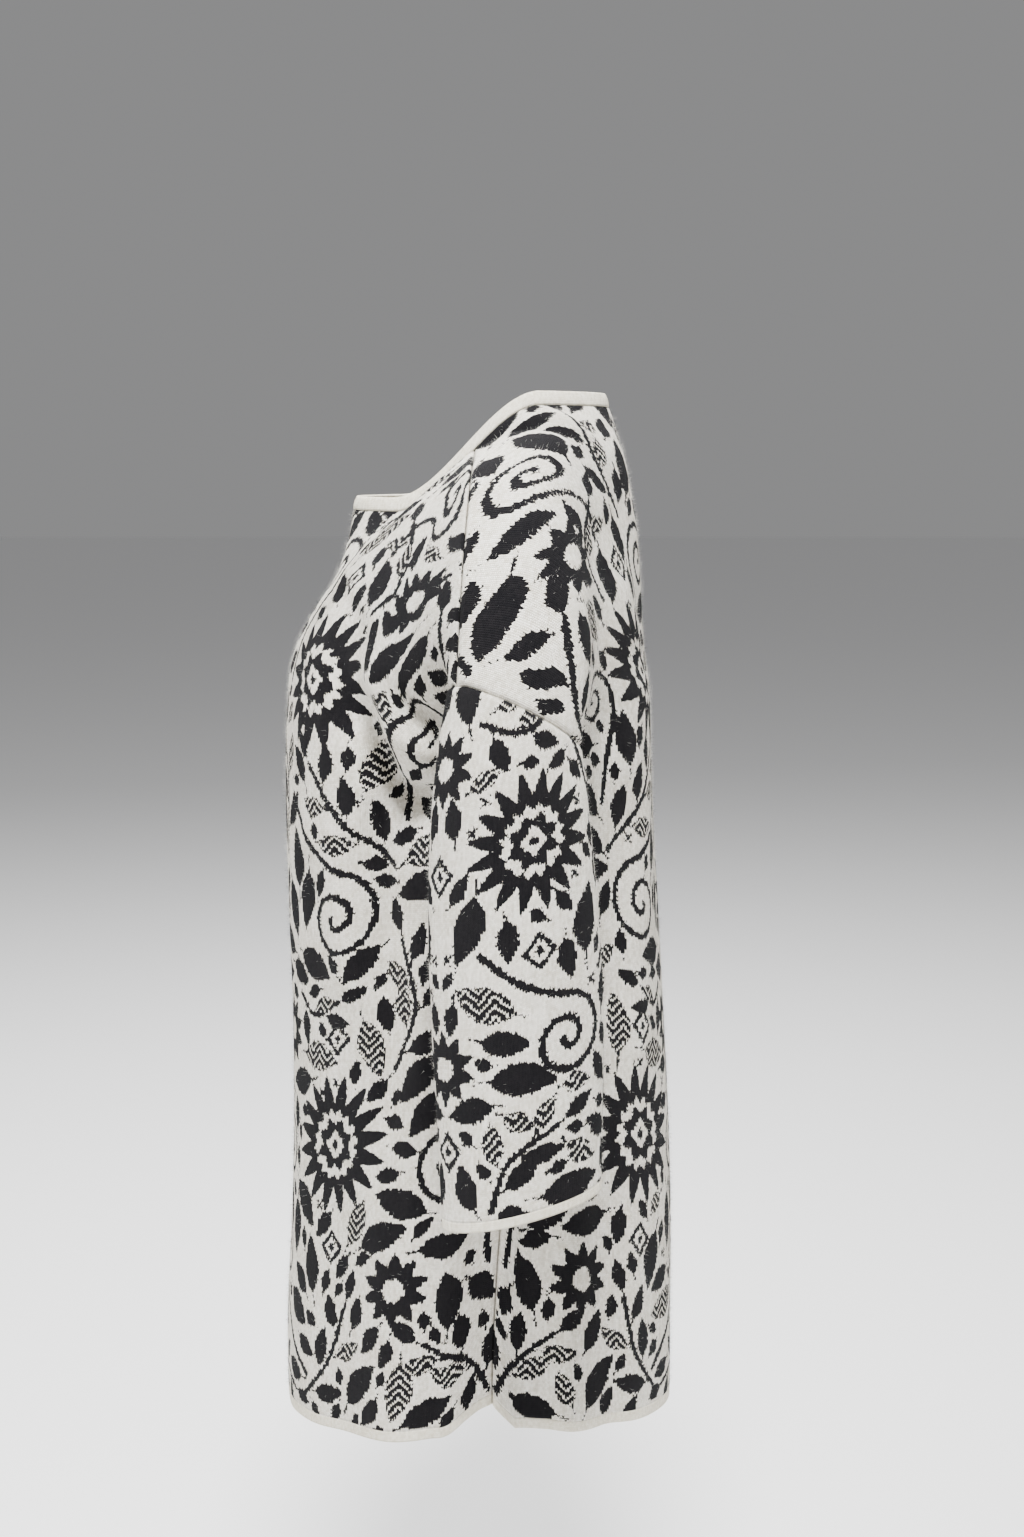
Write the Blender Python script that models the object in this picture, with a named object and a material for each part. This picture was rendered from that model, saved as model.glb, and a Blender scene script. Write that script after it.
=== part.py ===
"""A knitted sweater dress as it hangs on a wearer: front, back, two sleeves and a neckband.

Metres, +Z up. The dress faces -Y and its left sleeve is at +X. The origin is midway between
the two shoulders, level with the neck points, where the wearer carries it.
"""

import math

import bpy
import numpy as np

# Cloth
WALL = 0.0022
SEAM_GAP = 0.0003
SEAM_MATCH = 0.00001
RIM_ANGLE = 80.0
BAND_HEIGHT = 0.009
PATTERNED_COLOUR = (0.52, 0.50, 0.45)
PLAIN_COLOUR = (0.80, 0.76, 0.66)
KNIT_ROUGHNESS = 0.95

# Heights that divide the body
UNDERARM_Z = -0.235
HEM_Z = -0.817
HEM_SIDE_LIFT = 0.041
HEM_FRONT_DIP = 0.009
HEM_DIP_SPAN = 0.045

# Side vents, cut as small notches at the foot of each side seam
VENT_HEIGHT = 0.020
VENT_FRONT_SPAN = 0.044
VENT_BACK_SPAN = 0.018

# The loop where the neckband is sewn on, and how far the band's free edge lies from it
NECK_HALF_WIDTH = 0.099
NECK_FRONT_Y = -0.1025
NECK_BACK_Y = 0.1055
NECK_FRONT_Z = -0.067
NECK_BACK_Z = 0.0145
NECK_SLOPE_FROM_Y = -0.066
NECK_SLOPE_TO_Y = 0.049
BAND_DROP_IN = 0.0065
BAND_RISE = 0.0105
BAND_RINGS = 3
NECK_POINT_TURN = 88.0

# The armhole loop, which is also the sleeve's first ring
ARMHOLE_X = 0.217
ARMHOLE_Y = 0.029
ARMHOLE_Z = -0.210
ARMHOLE_HALF_DEPTH = 0.048
ARMHOLE_HALF_WIDTH = 0.042
ARMHOLE_RISE_OUT = 0.35
ARMHOLE_RISE_BACK = -0.44
ARMHOLE_UNDER_ANGLE = 150.0
ARMHOLE_SHOULDER_ANGLE = 299.0

# Cuff
CUFF_RISE_BACK = 0.26
CUFF_RISE_OUT = 0.05

# Body sections from the hem to the back of the neck: half width, the front's and the back's
# reach from the side line, and how square the front and back corners are
BODY_SECTIONS = (
    # height, half_width, front, back, front_square, back_square
    (-0.830, 0.186, 0.172, 0.159, 2.35, 2.35),
    (-0.750, 0.184, 0.171, 0.159, 2.35, 2.35),
    (-0.660, 0.180, 0.166, 0.158, 2.35, 2.40),
    (-0.570, 0.175, 0.163, 0.155, 2.40, 2.40),
    (-0.480, 0.170, 0.162, 0.149, 2.40, 2.45),
    (-0.390, 0.166, 0.164, 0.143, 2.45, 2.50),
    (-0.300, 0.164, 0.164, 0.136, 2.50, 2.60),
    (-0.225, 0.164, 0.162, 0.133, 2.50, 2.70),
    (-0.190, 0.163, 0.158, 0.131, 2.40, 2.70),
    (-0.160, 0.161, 0.144, 0.129, 2.20, 2.70),
    (-0.125, 0.157, 0.119, 0.127, 2.00, 2.70),
    (-0.090, 0.151, 0.110, 0.124, 1.80, 2.60),
    (-0.060, 0.142, 0.106, 0.120, 1.65, 2.40),
    (-0.030, 0.130, 0.100, 0.116, 1.55, 2.20),
    (0.000, 0.112, 0.090, 0.109, 1.55, 2.10),
    (0.030, 0.096, 0.075, 0.098, 1.60, 2.10),
)
SIDE_LINE_Y = 0.005
SIDE_SEAM_ANGLE_HEM = 2.0
SIDE_SEAM_ANGLE_UNDERARM = 14.0

# Guide lines run up each half panel from the underarm level to the neck and shoulder.
# Share is where a guide crosses the underarm level, from centre to side seam.
FRONT_SHARES = (0.0, 0.22, 0.42, 0.64, 0.82, 1.0)
BACK_SHARES = (0.0, 0.25, 0.46, 0.66, 0.83, 1.0)
COLUMNS_BETWEEN_GUIDES = (4, 5, 4, 5, 4)
UPPER_ROWS = 12
SKIRT_ROWS = 10
FOLD_ZONE = 0.10
FOLD_ZONE_ROWS = 9
UPPER_CROWDING = 1.2
GUSSET_DEPTH = 0.045
JUST_BELOW = 0.99

# Where the guides between the centre and the armhole pass on their way up
GUIDE_STOPS = (
    # panel, guide, x, y, z
    ("front", 1, 0.070, -0.140, -0.168),
    ("front", 1, 0.074, -0.107, -0.112),
    ("front", 2, 0.106, -0.121, -0.168),
    ("front", 2, 0.108, -0.085, -0.104),
    ("front", 2, 0.106, -0.042, -0.054),
    ("front", 3, 0.154, -0.078, -0.185),
    ("front", 3, 0.166, -0.046, -0.106),
    ("front", 4, 0.183, -0.040, -0.196),
    ("front", 4, 0.206, -0.032, -0.148),
    ("back", 1, 0.064, 0.127, -0.150),
    ("back", 1, 0.072, 0.119, -0.070),
    ("back", 1, 0.078, 0.100, -0.012),
    ("back", 2, 0.107, 0.118, -0.140),
    ("back", 2, 0.113, 0.097, -0.060),
    ("back", 2, 0.114, 0.062, -0.008),
    ("back", 2, 0.108, 0.030, -0.006),
    ("back", 3, 0.143, 0.104, -0.160),
    ("back", 3, 0.159, 0.086, -0.090),
    ("back", 3, 0.170, 0.048, -0.040),
    ("back", 4, 0.190, 0.090, -0.197),
    ("back", 4, 0.214, 0.080, -0.140),
    ("back", 4, 0.228, 0.040, -0.108),
)

# The shoulder seam, from the neck point to the armhole
SHOULDER_SEAM = (
    # guide, x, y, z
    (3, 0.172, -0.004, -0.041),
    (4, 0.226, -0.009, -0.108),
)

# Sleeve sections below the armhole
SLEEVE_SECTIONS = (
    # share_down, x, y, z, half_width, half_depth
    (0.00, 0.217, 0.029, -0.210, 0.042, 0.048),
    (0.12, 0.228, 0.028, -0.255, 0.043, 0.054),
    (0.35, 0.235, 0.028, -0.340, 0.045, 0.061),
    (0.60, 0.243, 0.031, -0.430, 0.045, 0.062),
    (0.80, 0.251, 0.033, -0.505, 0.044, 0.060),
    (1.00, 0.259, 0.034, -0.562, 0.042, 0.058),
)
SLEEVE_RINGS = 13

# Folds: soft ridges (height above 0) and troughs, alike on both sides of the dress.
# Each follows a line given as it is seen from the side.
FOLDS = (
    # piece, height, half_width, (y, z) points along it
    ("front", 0.013, 0.018, ((-0.080, -0.172), (-0.066, -0.218), (-0.026, -0.244))),
    ("front", -0.009, 0.014, ((-0.100, -0.160), (-0.092, -0.228), (-0.070, -0.270), (-0.030, -0.286))),
    ("front", 0.007, 0.014, ((-0.118, -0.170), (-0.112, -0.280), (-0.100, -0.440))),
    ("front", -0.007, 0.013, ((-0.078, -0.280), (-0.066, -0.400), (-0.072, -0.540))),
    ("front", 0.006, 0.014, ((-0.040, -0.310), (-0.040, -0.500))),
    ("front", -0.004, 0.020, ((-0.120, -0.540), (-0.112, -0.720), (-0.118, -0.900))),
    ("front", 0.005, 0.018, ((-0.070, -0.600), (-0.062, -0.900))),
    ("front", -0.005, 0.012, ((-0.036, -0.640), (-0.030, -0.900))),
    ("back", -0.009, 0.015, ((0.094, -0.075), (0.100, -0.150), (0.100, -0.240), (0.096, -0.440))),
    ("back", 0.005, 0.014, ((0.124, -0.200), (0.126, -0.500))),
    ("back", -0.005, 0.014, ((0.098, -0.440), (0.104, -0.640), (0.110, -0.900))),
    ("back", 0.005, 0.018, ((0.070, -0.480), (0.074, -0.900))),
    ("back", -0.004, 0.014, ((0.038, -0.540), (0.034, -0.900))),
)
FOLD_BUMPS = 40
FOLD_FADE_GUIDES = 0.35
FOLD_FADE_TOP = 0.12


def smooth(t):
    """0 to 1 with level ends."""
    t = np.clip(t, 0.0, 1.0)
    return t * t * (3.0 - 2.0 * t)


def through(knots, values, at):
    """A smooth curve through values at knots, read at the given places."""
    knots, values = np.asarray(knots, float), np.asarray(values, float)
    at = np.asarray(at, float)
    slope = np.gradient(values, knots, axis=0)
    i = np.clip(np.searchsorted(knots, at) - 1, 0, len(knots) - 2)
    h = knots[i + 1] - knots[i]
    t = (at - knots[i]) / h
    if values.ndim == 2:
        h, t = h[..., None], t[..., None]
    return (
        (1 + 2 * t) * (1 - t) ** 2 * values[i]
        + t * (1 - t) ** 2 * h * slope[i]
        + t * t * (3 - 2 * t) * values[i + 1]
        + t * t * (t - 1) * h * slope[i + 1]
    )


def body_point(angle, height):
    """The body's surface at an angle in degrees (-90 front, 0 side, 90 back) and a height."""
    table = np.array(BODY_SECTIONS)
    width, front, back, front_square, back_square = (
        through(table[:, 0], table[:, k], height) for k in range(1, 6)
    )
    c, s = np.cos(np.radians(angle)), np.sin(np.radians(angle))
    turn = smooth(0.5 + s / 0.5)
    depth = np.where(s < 0, front, back)
    square = front_square + (back_square - front_square) * turn
    reach = ((np.abs(c) / width) ** square + (np.abs(s) / depth) ** square) ** (-1 / square)
    return np.stack([reach * c, SIDE_LINE_Y + reach * s, height + 0 * reach], axis=-1)


def neck_loop(turn, edge):
    """The neck loop: turn is 0 at centre front and 180 at centre back, edge is 0 at the seam."""
    turn = np.radians(turn)
    half_width = NECK_HALF_WIDTH - BAND_DROP_IN * edge
    centre_y = (NECK_BACK_Y + NECK_FRONT_Y) / 2
    half_depth = (NECK_BACK_Y - NECK_FRONT_Y) / 2 - 0.5 * BAND_DROP_IN * edge
    x = half_width * np.sin(turn)
    y = centre_y - half_depth * np.cos(turn)
    climb = smooth((y - NECK_SLOPE_FROM_Y) / (NECK_SLOPE_TO_Y - NECK_SLOPE_FROM_Y))
    z = NECK_FRONT_Z + (NECK_BACK_Z - NECK_FRONT_Z) * climb
    return np.stack([x, y, z + edge * BAND_RISE], axis=-1)


def armhole(angle):
    """A point of the armhole loop, at an angle in degrees from straight outwards."""
    c, s = np.cos(np.radians(angle)), np.sin(np.radians(angle))
    dx, dy = ARMHOLE_HALF_WIDTH * c, ARMHOLE_HALF_DEPTH * s
    z = ARMHOLE_Z + ARMHOLE_RISE_OUT * dx + ARMHOLE_RISE_BACK * dy
    return np.stack([ARMHOLE_X + dx, ARMHOLE_Y + dy, z], axis=-1)


def armhole_angle(panel, climb):
    """Where a panel's edge is on the armhole loop, climb 0 under the arm and 1 at the shoulder."""
    shoulder = ARMHOLE_SHOULDER_ANGLE - (0 if panel == "front" else 360)
    return ARMHOLE_UNDER_ANGLE + (shoulder - ARMHOLE_UNDER_ANGLE) * climb


def sleeve_point(angle, share):
    """A point of the left sleeve, share 0 at the armhole and 1 at the cuff."""
    table = np.array(SLEEVE_SECTIONS)
    x, y, z, half_width, half_depth = (through(table[:, 0], table[:, k], share) for k in range(1, 6))
    dx, dy = half_width * np.cos(np.radians(angle)), half_depth * np.sin(np.radians(angle))
    ease = smooth(share)
    rise_out = ARMHOLE_RISE_OUT + (CUFF_RISE_OUT - ARMHOLE_RISE_OUT) * ease
    rise_back = ARMHOLE_RISE_BACK + (CUFF_RISE_BACK - ARMHOLE_RISE_BACK) * ease
    return np.stack([x + dx, y + dy, z + rise_out * dx + rise_back * dy], axis=-1)


def shoulder_seam(guide):
    """The seam from the neck point (guide 2) to the armhole (guide 5)."""
    knots = [2] + [row[0] for row in SHOULDER_SEAM] + [5]
    points = [neck_loop(NECK_POINT_TURN, 0)]
    points += [np.array(row[1:]) for row in SHOULDER_SEAM]
    points += [armhole(ARMHOLE_SHOULDER_ANGLE)]
    return through(knots, np.array(points), guide)


def top_edge(panel, guide):
    """The panel's upper edge: neckline up to guide 2, then the shoulder seam."""
    if panel == "front":
        turn = NECK_POINT_TURN * np.minimum(guide, 2) / 2
    else:
        turn = 180 - (180 - NECK_POINT_TURN) * np.minimum(guide, 2) / 2
    on_seam = guide[..., None] > 2
    return np.where(on_seam, shoulder_seam(np.maximum(guide, 2)), neck_loop(turn, 0))


def panel_angle(panel, guide, rise):
    """The body angle of a guide, where rise is 0 at the hem and 1 at the underarm."""
    shares = FRONT_SHARES if panel == "front" else BACK_SHARES
    share = through(range(6), shares, guide)
    lean = smooth(rise)
    seam = SIDE_SEAM_ANGLE_HEM + (SIDE_SEAM_ANGLE_UNDERARM - SIDE_SEAM_ANGLE_HEM) * lean
    centre = -90.0 if panel == "front" else 90.0
    return centre + share * (seam - centre)


def hem_height(panel, guide):
    """The hem's height: higher at the sides, with a notch beside the side seam."""
    angle = panel_angle(panel, guide, np.zeros_like(guide))
    from_seam = body_point(angle, np.full_like(guide, HEM_Z))[..., 1]
    seam_y = body_point(np.array([SIDE_SEAM_ANGLE_HEM]), np.array([HEM_Z]))[0, 1]
    away = np.abs(from_seam - seam_y)
    if panel == "front":
        side_lift = HEM_SIDE_LIFT - HEM_FRONT_DIP * smooth(away / HEM_DIP_SPAN)
        notch = VENT_HEIGHT * (1 - smooth(away / VENT_FRONT_SPAN))
    else:
        side_lift = HEM_SIDE_LIFT
        notch = VENT_HEIGHT * np.clip(1 - away / VENT_BACK_SPAN, 0, 1)
    return HEM_Z + side_lift * np.cos(np.radians(angle)) ** 2 + notch


def lower_body(panel, guide, rise):
    """The body below the underarm, rise 0 at the hem and 1 at the underarm level."""
    hem = hem_height(panel, guide)
    height = hem + (UNDERARM_Z - hem) * rise
    points = body_point(panel_angle(panel, guide, rise), height)
    seam_top = body_point(np.array([SIDE_SEAM_ANGLE_UNDERARM]), np.array([UNDERARM_Z]))[0]
    pull = armhole(ARMHOLE_UNDER_ANGLE) - seam_top
    reach = np.clip(guide - 4, 0, 1) ** 2.5 * smooth(1 - (UNDERARM_Z - height) / GUSSET_DEPTH)
    return points + reach[..., None] * pull


def guide_line(panel, guide, climb):
    """Guide number 0 to 5 of a panel above the underarm, climb 0 to 1."""
    foot = lower_body(panel, np.array([float(guide)]), np.array([1.0]))[0]
    head = top_edge(panel, np.array([float(guide)]))[0]
    if guide == 5:
        return armhole(armhole_angle(panel, climb))
    if guide == 0:
        height = foot[2] + (head[2] - foot[2]) * climb
        return body_point(-90.0 if panel == "front" else 90.0, height)
    below = lower_body(panel, np.array([float(guide)]), np.array([JUST_BELOW]))[0]
    stops = [row[2:] for row in GUIDE_STOPS if row[0] == panel and row[1] == guide]
    points = np.array([below, foot, *stops, head])
    steps = np.linalg.norm(np.diff(points, axis=0), axis=1)
    knots = np.concatenate([[0], np.cumsum(steps)]) - steps[0]
    return through(knots / knots[-1], points, climb)


def upper_body(panel, guide, climb):
    """The body above the underarm, from six guide lines, with its edges kept exact."""
    levels = climb[:, 0]
    lines = [guide_line(panel, k, levels) for k in range(6)]
    mirror = lines[1] * [-1, 1, 1]
    onward = sleeve_point(armhole_angle(panel, levels), 0.15)
    lines = np.array([mirror, *lines, onward])
    k = np.clip(guide[0].astype(int), 0, 4)
    t = (guide[0] - k)[None, :, None]
    a, b, c, d = (lines[k + i].transpose(1, 0, 2) for i in range(4))
    surface = 0.5 * (
        2 * b + (c - a) * t + (2 * a - 5 * b + 4 * c - d) * t**2 + (3 * b - a - 3 * c + d) * t**3
    )
    foot = lower_body(panel, guide[:1], np.ones_like(guide[:1]))
    head = top_edge(panel, guide[:1])
    low = (1 - smooth(climb / 0.35))[..., None]
    high = smooth((climb - 0.6) / 0.4)[..., None]
    return surface + low * (foot - surface[:1]) + high * (head - surface[-1:])


def guide_columns():
    """Guide numbers of the columns of half a panel, from centre to side."""
    parts = [
        np.linspace(k, k + 1, n, endpoint=False) for k, n in enumerate(COLUMNS_BETWEEN_GUIDES)
    ]
    return np.concatenate([*parts, [5.0]])


def fold_height(piece, points):
    """How far the folds push each point out along the cloth's normal.

    A fold is a line of soft round bumps that run together, so it fades out at its ends.
    """
    total = np.zeros(points.shape[:-1])
    for owner, height, half_width, line in FOLDS:
        if owner != piece:
            continue
        line = np.array(line)
        along = np.concatenate([[0], np.cumsum(np.linalg.norm(np.diff(line, axis=0), axis=1))])
        bumps = through(along, line, np.linspace(0, along[-1], FOLD_BUMPS))
        away = ((points[..., None, 1:] - bumps) ** 2).sum(axis=-1)
        spacing = along[-1] / (FOLD_BUMPS - 1)
        share = spacing / (half_width * math.sqrt(math.pi))
        total += height * share * np.exp(-away / half_width**2).sum(axis=-1)
    return total


def lower_rows():
    """Row places from 0 at the hem to 1 at the underarm, closer together in the fold zone."""
    length = UNDERARM_Z - HEM_Z
    band, zone = BAND_HEIGHT / length, 1 - FOLD_ZONE / length
    skirt = np.linspace(band, zone, SKIRT_ROWS, endpoint=False)
    return np.concatenate([[0], skirt, np.linspace(zone, 1, FOLD_ZONE_ROWS + 1)])


def upper_rows():
    """Row places from 0 at the underarm to 1 at the top, closer together near the underarm."""
    return np.linspace(0, 1, UPPER_ROWS + 1) ** UPPER_CROWDING


def panel_surface(panel):
    """A panel's surface: rows from hem to top, columns from the dress's right to its left.

    The first row is the hem and the second is where the plain hem band is joined on.
    """
    columns = guide_columns()
    rise = lower_rows()
    lower = lower_body(panel, *np.meshgrid(columns, rise))
    upper = upper_body(panel, *np.meshgrid(columns, upper_rows()))[1:]
    half = np.concatenate([lower, upper])
    whole = np.concatenate([half[:, :0:-1] * [-1, 1, 1], half], axis=1)
    facing = -1 if panel == "back" else 1
    from_seam = 5 - np.abs(np.concatenate([-columns[:0:-1], columns]))
    from_top = 1 - upper_rows()[1:]
    fade = np.concatenate([np.ones(len(rise)), smooth(from_top / FOLD_FADE_TOP)])
    fade = fade[:, None] * smooth(from_seam / FOLD_FADE_GUIDES)
    push = fold_height(panel, whole) * fade * facing
    return whole + push[..., None] * grid_normals(whole, False)


def sleeve_surface():
    """The left sleeve: rings from the cuff up to the armhole, points turning forwards."""
    climb = upper_rows()
    front, back = armhole_angle("front", climb), armhole_angle("back", climb)
    angle = np.concatenate([back[::-1], front[1:-1]])
    band = BAND_HEIGHT / (ARMHOLE_Z - SLEEVE_SECTIONS[-1][3])
    share = np.concatenate([[1.0], np.linspace(1 - band, 0, SLEEVE_RINGS)])
    angle, share = np.meshgrid(angle, share)
    return sleeve_point(angle, share)


def unit(vectors):
    """The same directions, one metre long."""
    return vectors / np.linalg.norm(vectors, axis=-1, keepdims=True)


def grid_normals(grid, closed):
    """Outward normals of a grid whose rows climb and whose columns turn to the left."""
    if closed:
        across = np.roll(grid, -1, axis=1) - np.roll(grid, 1, axis=1)
    else:
        across = np.gradient(grid, axis=1)
    return unit(np.cross(across, np.gradient(grid, axis=0)))


def pulled_in(edge, inner):
    """A seam edge moved along the cloth, away from the seam, by half the seam gap."""
    return edge + unit(inner - edge) * (SEAM_GAP / 2)


def cut_quads(points, a, b, c, d):
    """Quads a-b-c-d cut along their shorter diagonals, so mirrored pieces are cut alike."""
    first = np.linalg.norm(points[a] - points[c], axis=1)
    second = np.linalg.norm(points[b] - points[d], axis=1)
    cut_ac = np.stack([a, b, c, a, c, d], axis=1)
    cut_bd = np.stack([a, b, d, b, c, d], axis=1)
    triangles = np.where((first < second)[:, None], cut_ac, cut_bd)
    return triangles.reshape(-1, 3).tolist()


def cloth(name, grid, normals, closed, material, collection):
    """A wall of cloth from its outer surface and the directions its thickness follows."""
    inner = grid - normals * WALL
    sheets = []
    for sheet in (grid, inner):
        sheet = sheet.copy()
        sheet[0], sheet[-1] = pulled_in(sheet[0], sheet[1]), pulled_in(sheet[-1], sheet[-2])
        if not closed:
            sheet[:, 0] = pulled_in(sheet[:, 0], sheet[:, 1])
            sheet[:, -1] = pulled_in(sheet[:, -1], sheet[:, -2])
        sheets.append(sheet.reshape(-1, 3))
    rows, columns = grid.shape[:2]
    number = np.arange(rows * columns).reshape(rows, columns)
    if closed:
        number = np.concatenate([number, number[:, :1]], axis=1)
    a, b, c, d = number[:-1, :-1], number[:-1, 1:], number[1:, 1:], number[1:, :-1]
    a, b, c, d = (corner.ravel() for corner in (a, b, c, d))
    back = rows * columns
    rims = [number[0], number[-1, ::-1]]
    if not closed:
        rims += [number[:, -1], number[::-1, 0]]
    points = np.concatenate([grid.reshape(-1, 3), inner.reshape(-1, 3)])
    walls = cut_quads(points, a, b, c, d) + cut_quads(points, d + back, c + back, b + back, a + back)
    for rim in rims:
        walls += cut_quads(points, rim[1:], rim[:-1], rim[:-1] + back, rim[1:] + back)
    mesh = bpy.data.meshes.new(name)
    mesh.from_pydata(np.concatenate(sheets).tolist(), [], walls)
    mesh.shade_smooth()
    mesh.set_sharp_from_angle(angle=math.radians(RIM_ANGLE))
    mesh.materials.append(material)
    piece = bpy.data.objects.new(name, mesh)
    collection.objects.link(piece)
    return piece


def neckband_surface():
    """The neckband: rings from the neckline up, points turning from centre front leftwards."""
    to_shoulder = guide_columns()
    to_shoulder = to_shoulder[to_shoulder <= 2] / 2
    front = NECK_POINT_TURN * to_shoulder
    back = 180 - (180 - NECK_POINT_TURN) * to_shoulder
    left = np.concatenate([front, back[-2::-1]])
    turns = np.concatenate([left, 360 - left[-2:0:-1]])
    return np.stack([neck_loop(turns, edge) for edge in np.linspace(0, 1, BAND_RINGS)])


def shared_normals(surfaces):
    """Normals of each surface, made equal where surfaces meet at a seam."""
    names = list(surfaces)
    grids = [surfaces[name][0].reshape(-1, 3) for name in names]
    normals = [grid_normals(*surfaces[name]).reshape(-1, 3) for name in names]
    places = np.round(np.concatenate(grids) / SEAM_MATCH).astype(int)
    _, place = np.unique(places, axis=0, return_inverse=True)
    total = np.zeros((place.max() + 1, 3))
    np.add.at(total, place.ravel(), np.concatenate(normals))
    joined = unit(total[place.ravel()])
    ends = np.cumsum([len(grid) for grid in grids])[:-1]
    shapes = [surfaces[name][0].shape for name in names]
    return {
        name: part.reshape(shape)
        for name, part, shape in zip(names, np.split(joined, ends), shapes)
    }


def knit(name, colour):
    """A matt knitted fabric."""
    material = bpy.data.materials.new(name)
    material.use_nodes = True
    shader = material.node_tree.nodes["Principled BSDF"]
    shader.inputs["Base Color"].default_value = (*colour, 1.0)
    shader.inputs["Roughness"].default_value = KNIT_ROUGHNESS
    shader.inputs["Metallic"].default_value = 0.0
    return material


def dress_surfaces():
    """Every piece's outer surface, and whether it closes on itself."""
    front = panel_surface("front")
    back = panel_surface("back")[:, ::-1]
    left = sleeve_surface()
    right = left[:, ::-1] * [-1, 1, 1]
    return {
        "front": (front[1:], False),
        "back": (back[1:], False),
        "sleeve_left": (left[1:], True),
        "sleeve_right": (right[1:], True),
        "neckband": (neckband_surface(), True),
        "hem_band_front": (front[:2], False),
        "hem_band_back": (back[:2], False),
        "cuff_band_left": (left[:2], True),
        "cuff_band_right": (right[:2], True),
    }


def main():
    for old in list(bpy.data.objects):
        bpy.data.objects.remove(old, do_unlink=True)
    collection = bpy.data.collections.new("sweater dress")
    bpy.context.scene.collection.children.link(collection)
    surfaces = dress_surfaces()
    normals = shared_normals(surfaces)
    for name, (grid, closed) in surfaces.items():
        colour = PLAIN_COLOUR if "band" in name else PATTERNED_COLOUR
        cloth(name, grid, normals[name], closed, knit(name + " knit", colour), collection)


main()
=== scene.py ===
import math
from functools import partial, reduce

import bpy
import numpy as np
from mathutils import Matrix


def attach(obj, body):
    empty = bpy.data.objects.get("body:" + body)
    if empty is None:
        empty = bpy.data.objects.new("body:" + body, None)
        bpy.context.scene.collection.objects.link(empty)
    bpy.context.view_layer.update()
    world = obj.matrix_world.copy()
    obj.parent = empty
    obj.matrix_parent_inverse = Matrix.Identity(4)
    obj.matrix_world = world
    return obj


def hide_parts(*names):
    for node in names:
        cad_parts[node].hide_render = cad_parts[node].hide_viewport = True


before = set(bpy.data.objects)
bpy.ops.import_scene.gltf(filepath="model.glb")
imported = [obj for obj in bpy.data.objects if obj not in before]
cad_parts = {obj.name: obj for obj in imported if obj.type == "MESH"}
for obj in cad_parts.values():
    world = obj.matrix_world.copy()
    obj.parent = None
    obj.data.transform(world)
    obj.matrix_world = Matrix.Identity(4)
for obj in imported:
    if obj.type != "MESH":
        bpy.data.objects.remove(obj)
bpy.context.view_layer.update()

# Looks of a knitted sweater dress, in metres, +Z up, front towards -Y, left sleeve at +X.
# Each piece of cloth is a surface over a fine grid, with its own cloth coordinates:
# across counts from the piece's middle line, up counts from its lower edge.

print("frame loaded:", len(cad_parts), "nodes")

cloth = {
    "thickness": 0.0022,
    "innerStep": 3,           # the inside is this many times coarser
    "seamRollWidth": 0.0046,
    "seamRollDepth": 0.0033,
    "waveCount": 10,          # slight unevenness of the hanging cloth
    "waveLength": (0.045, 0.11),
    "waveHeight": 0.0007,
    "waveUp": 0.4,            # they are longer up the cloth than across
    "waveGain": 2.2,          # makes up for the mean of the waves being lower than each
    "edgeFade": 0.030,
}

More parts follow.
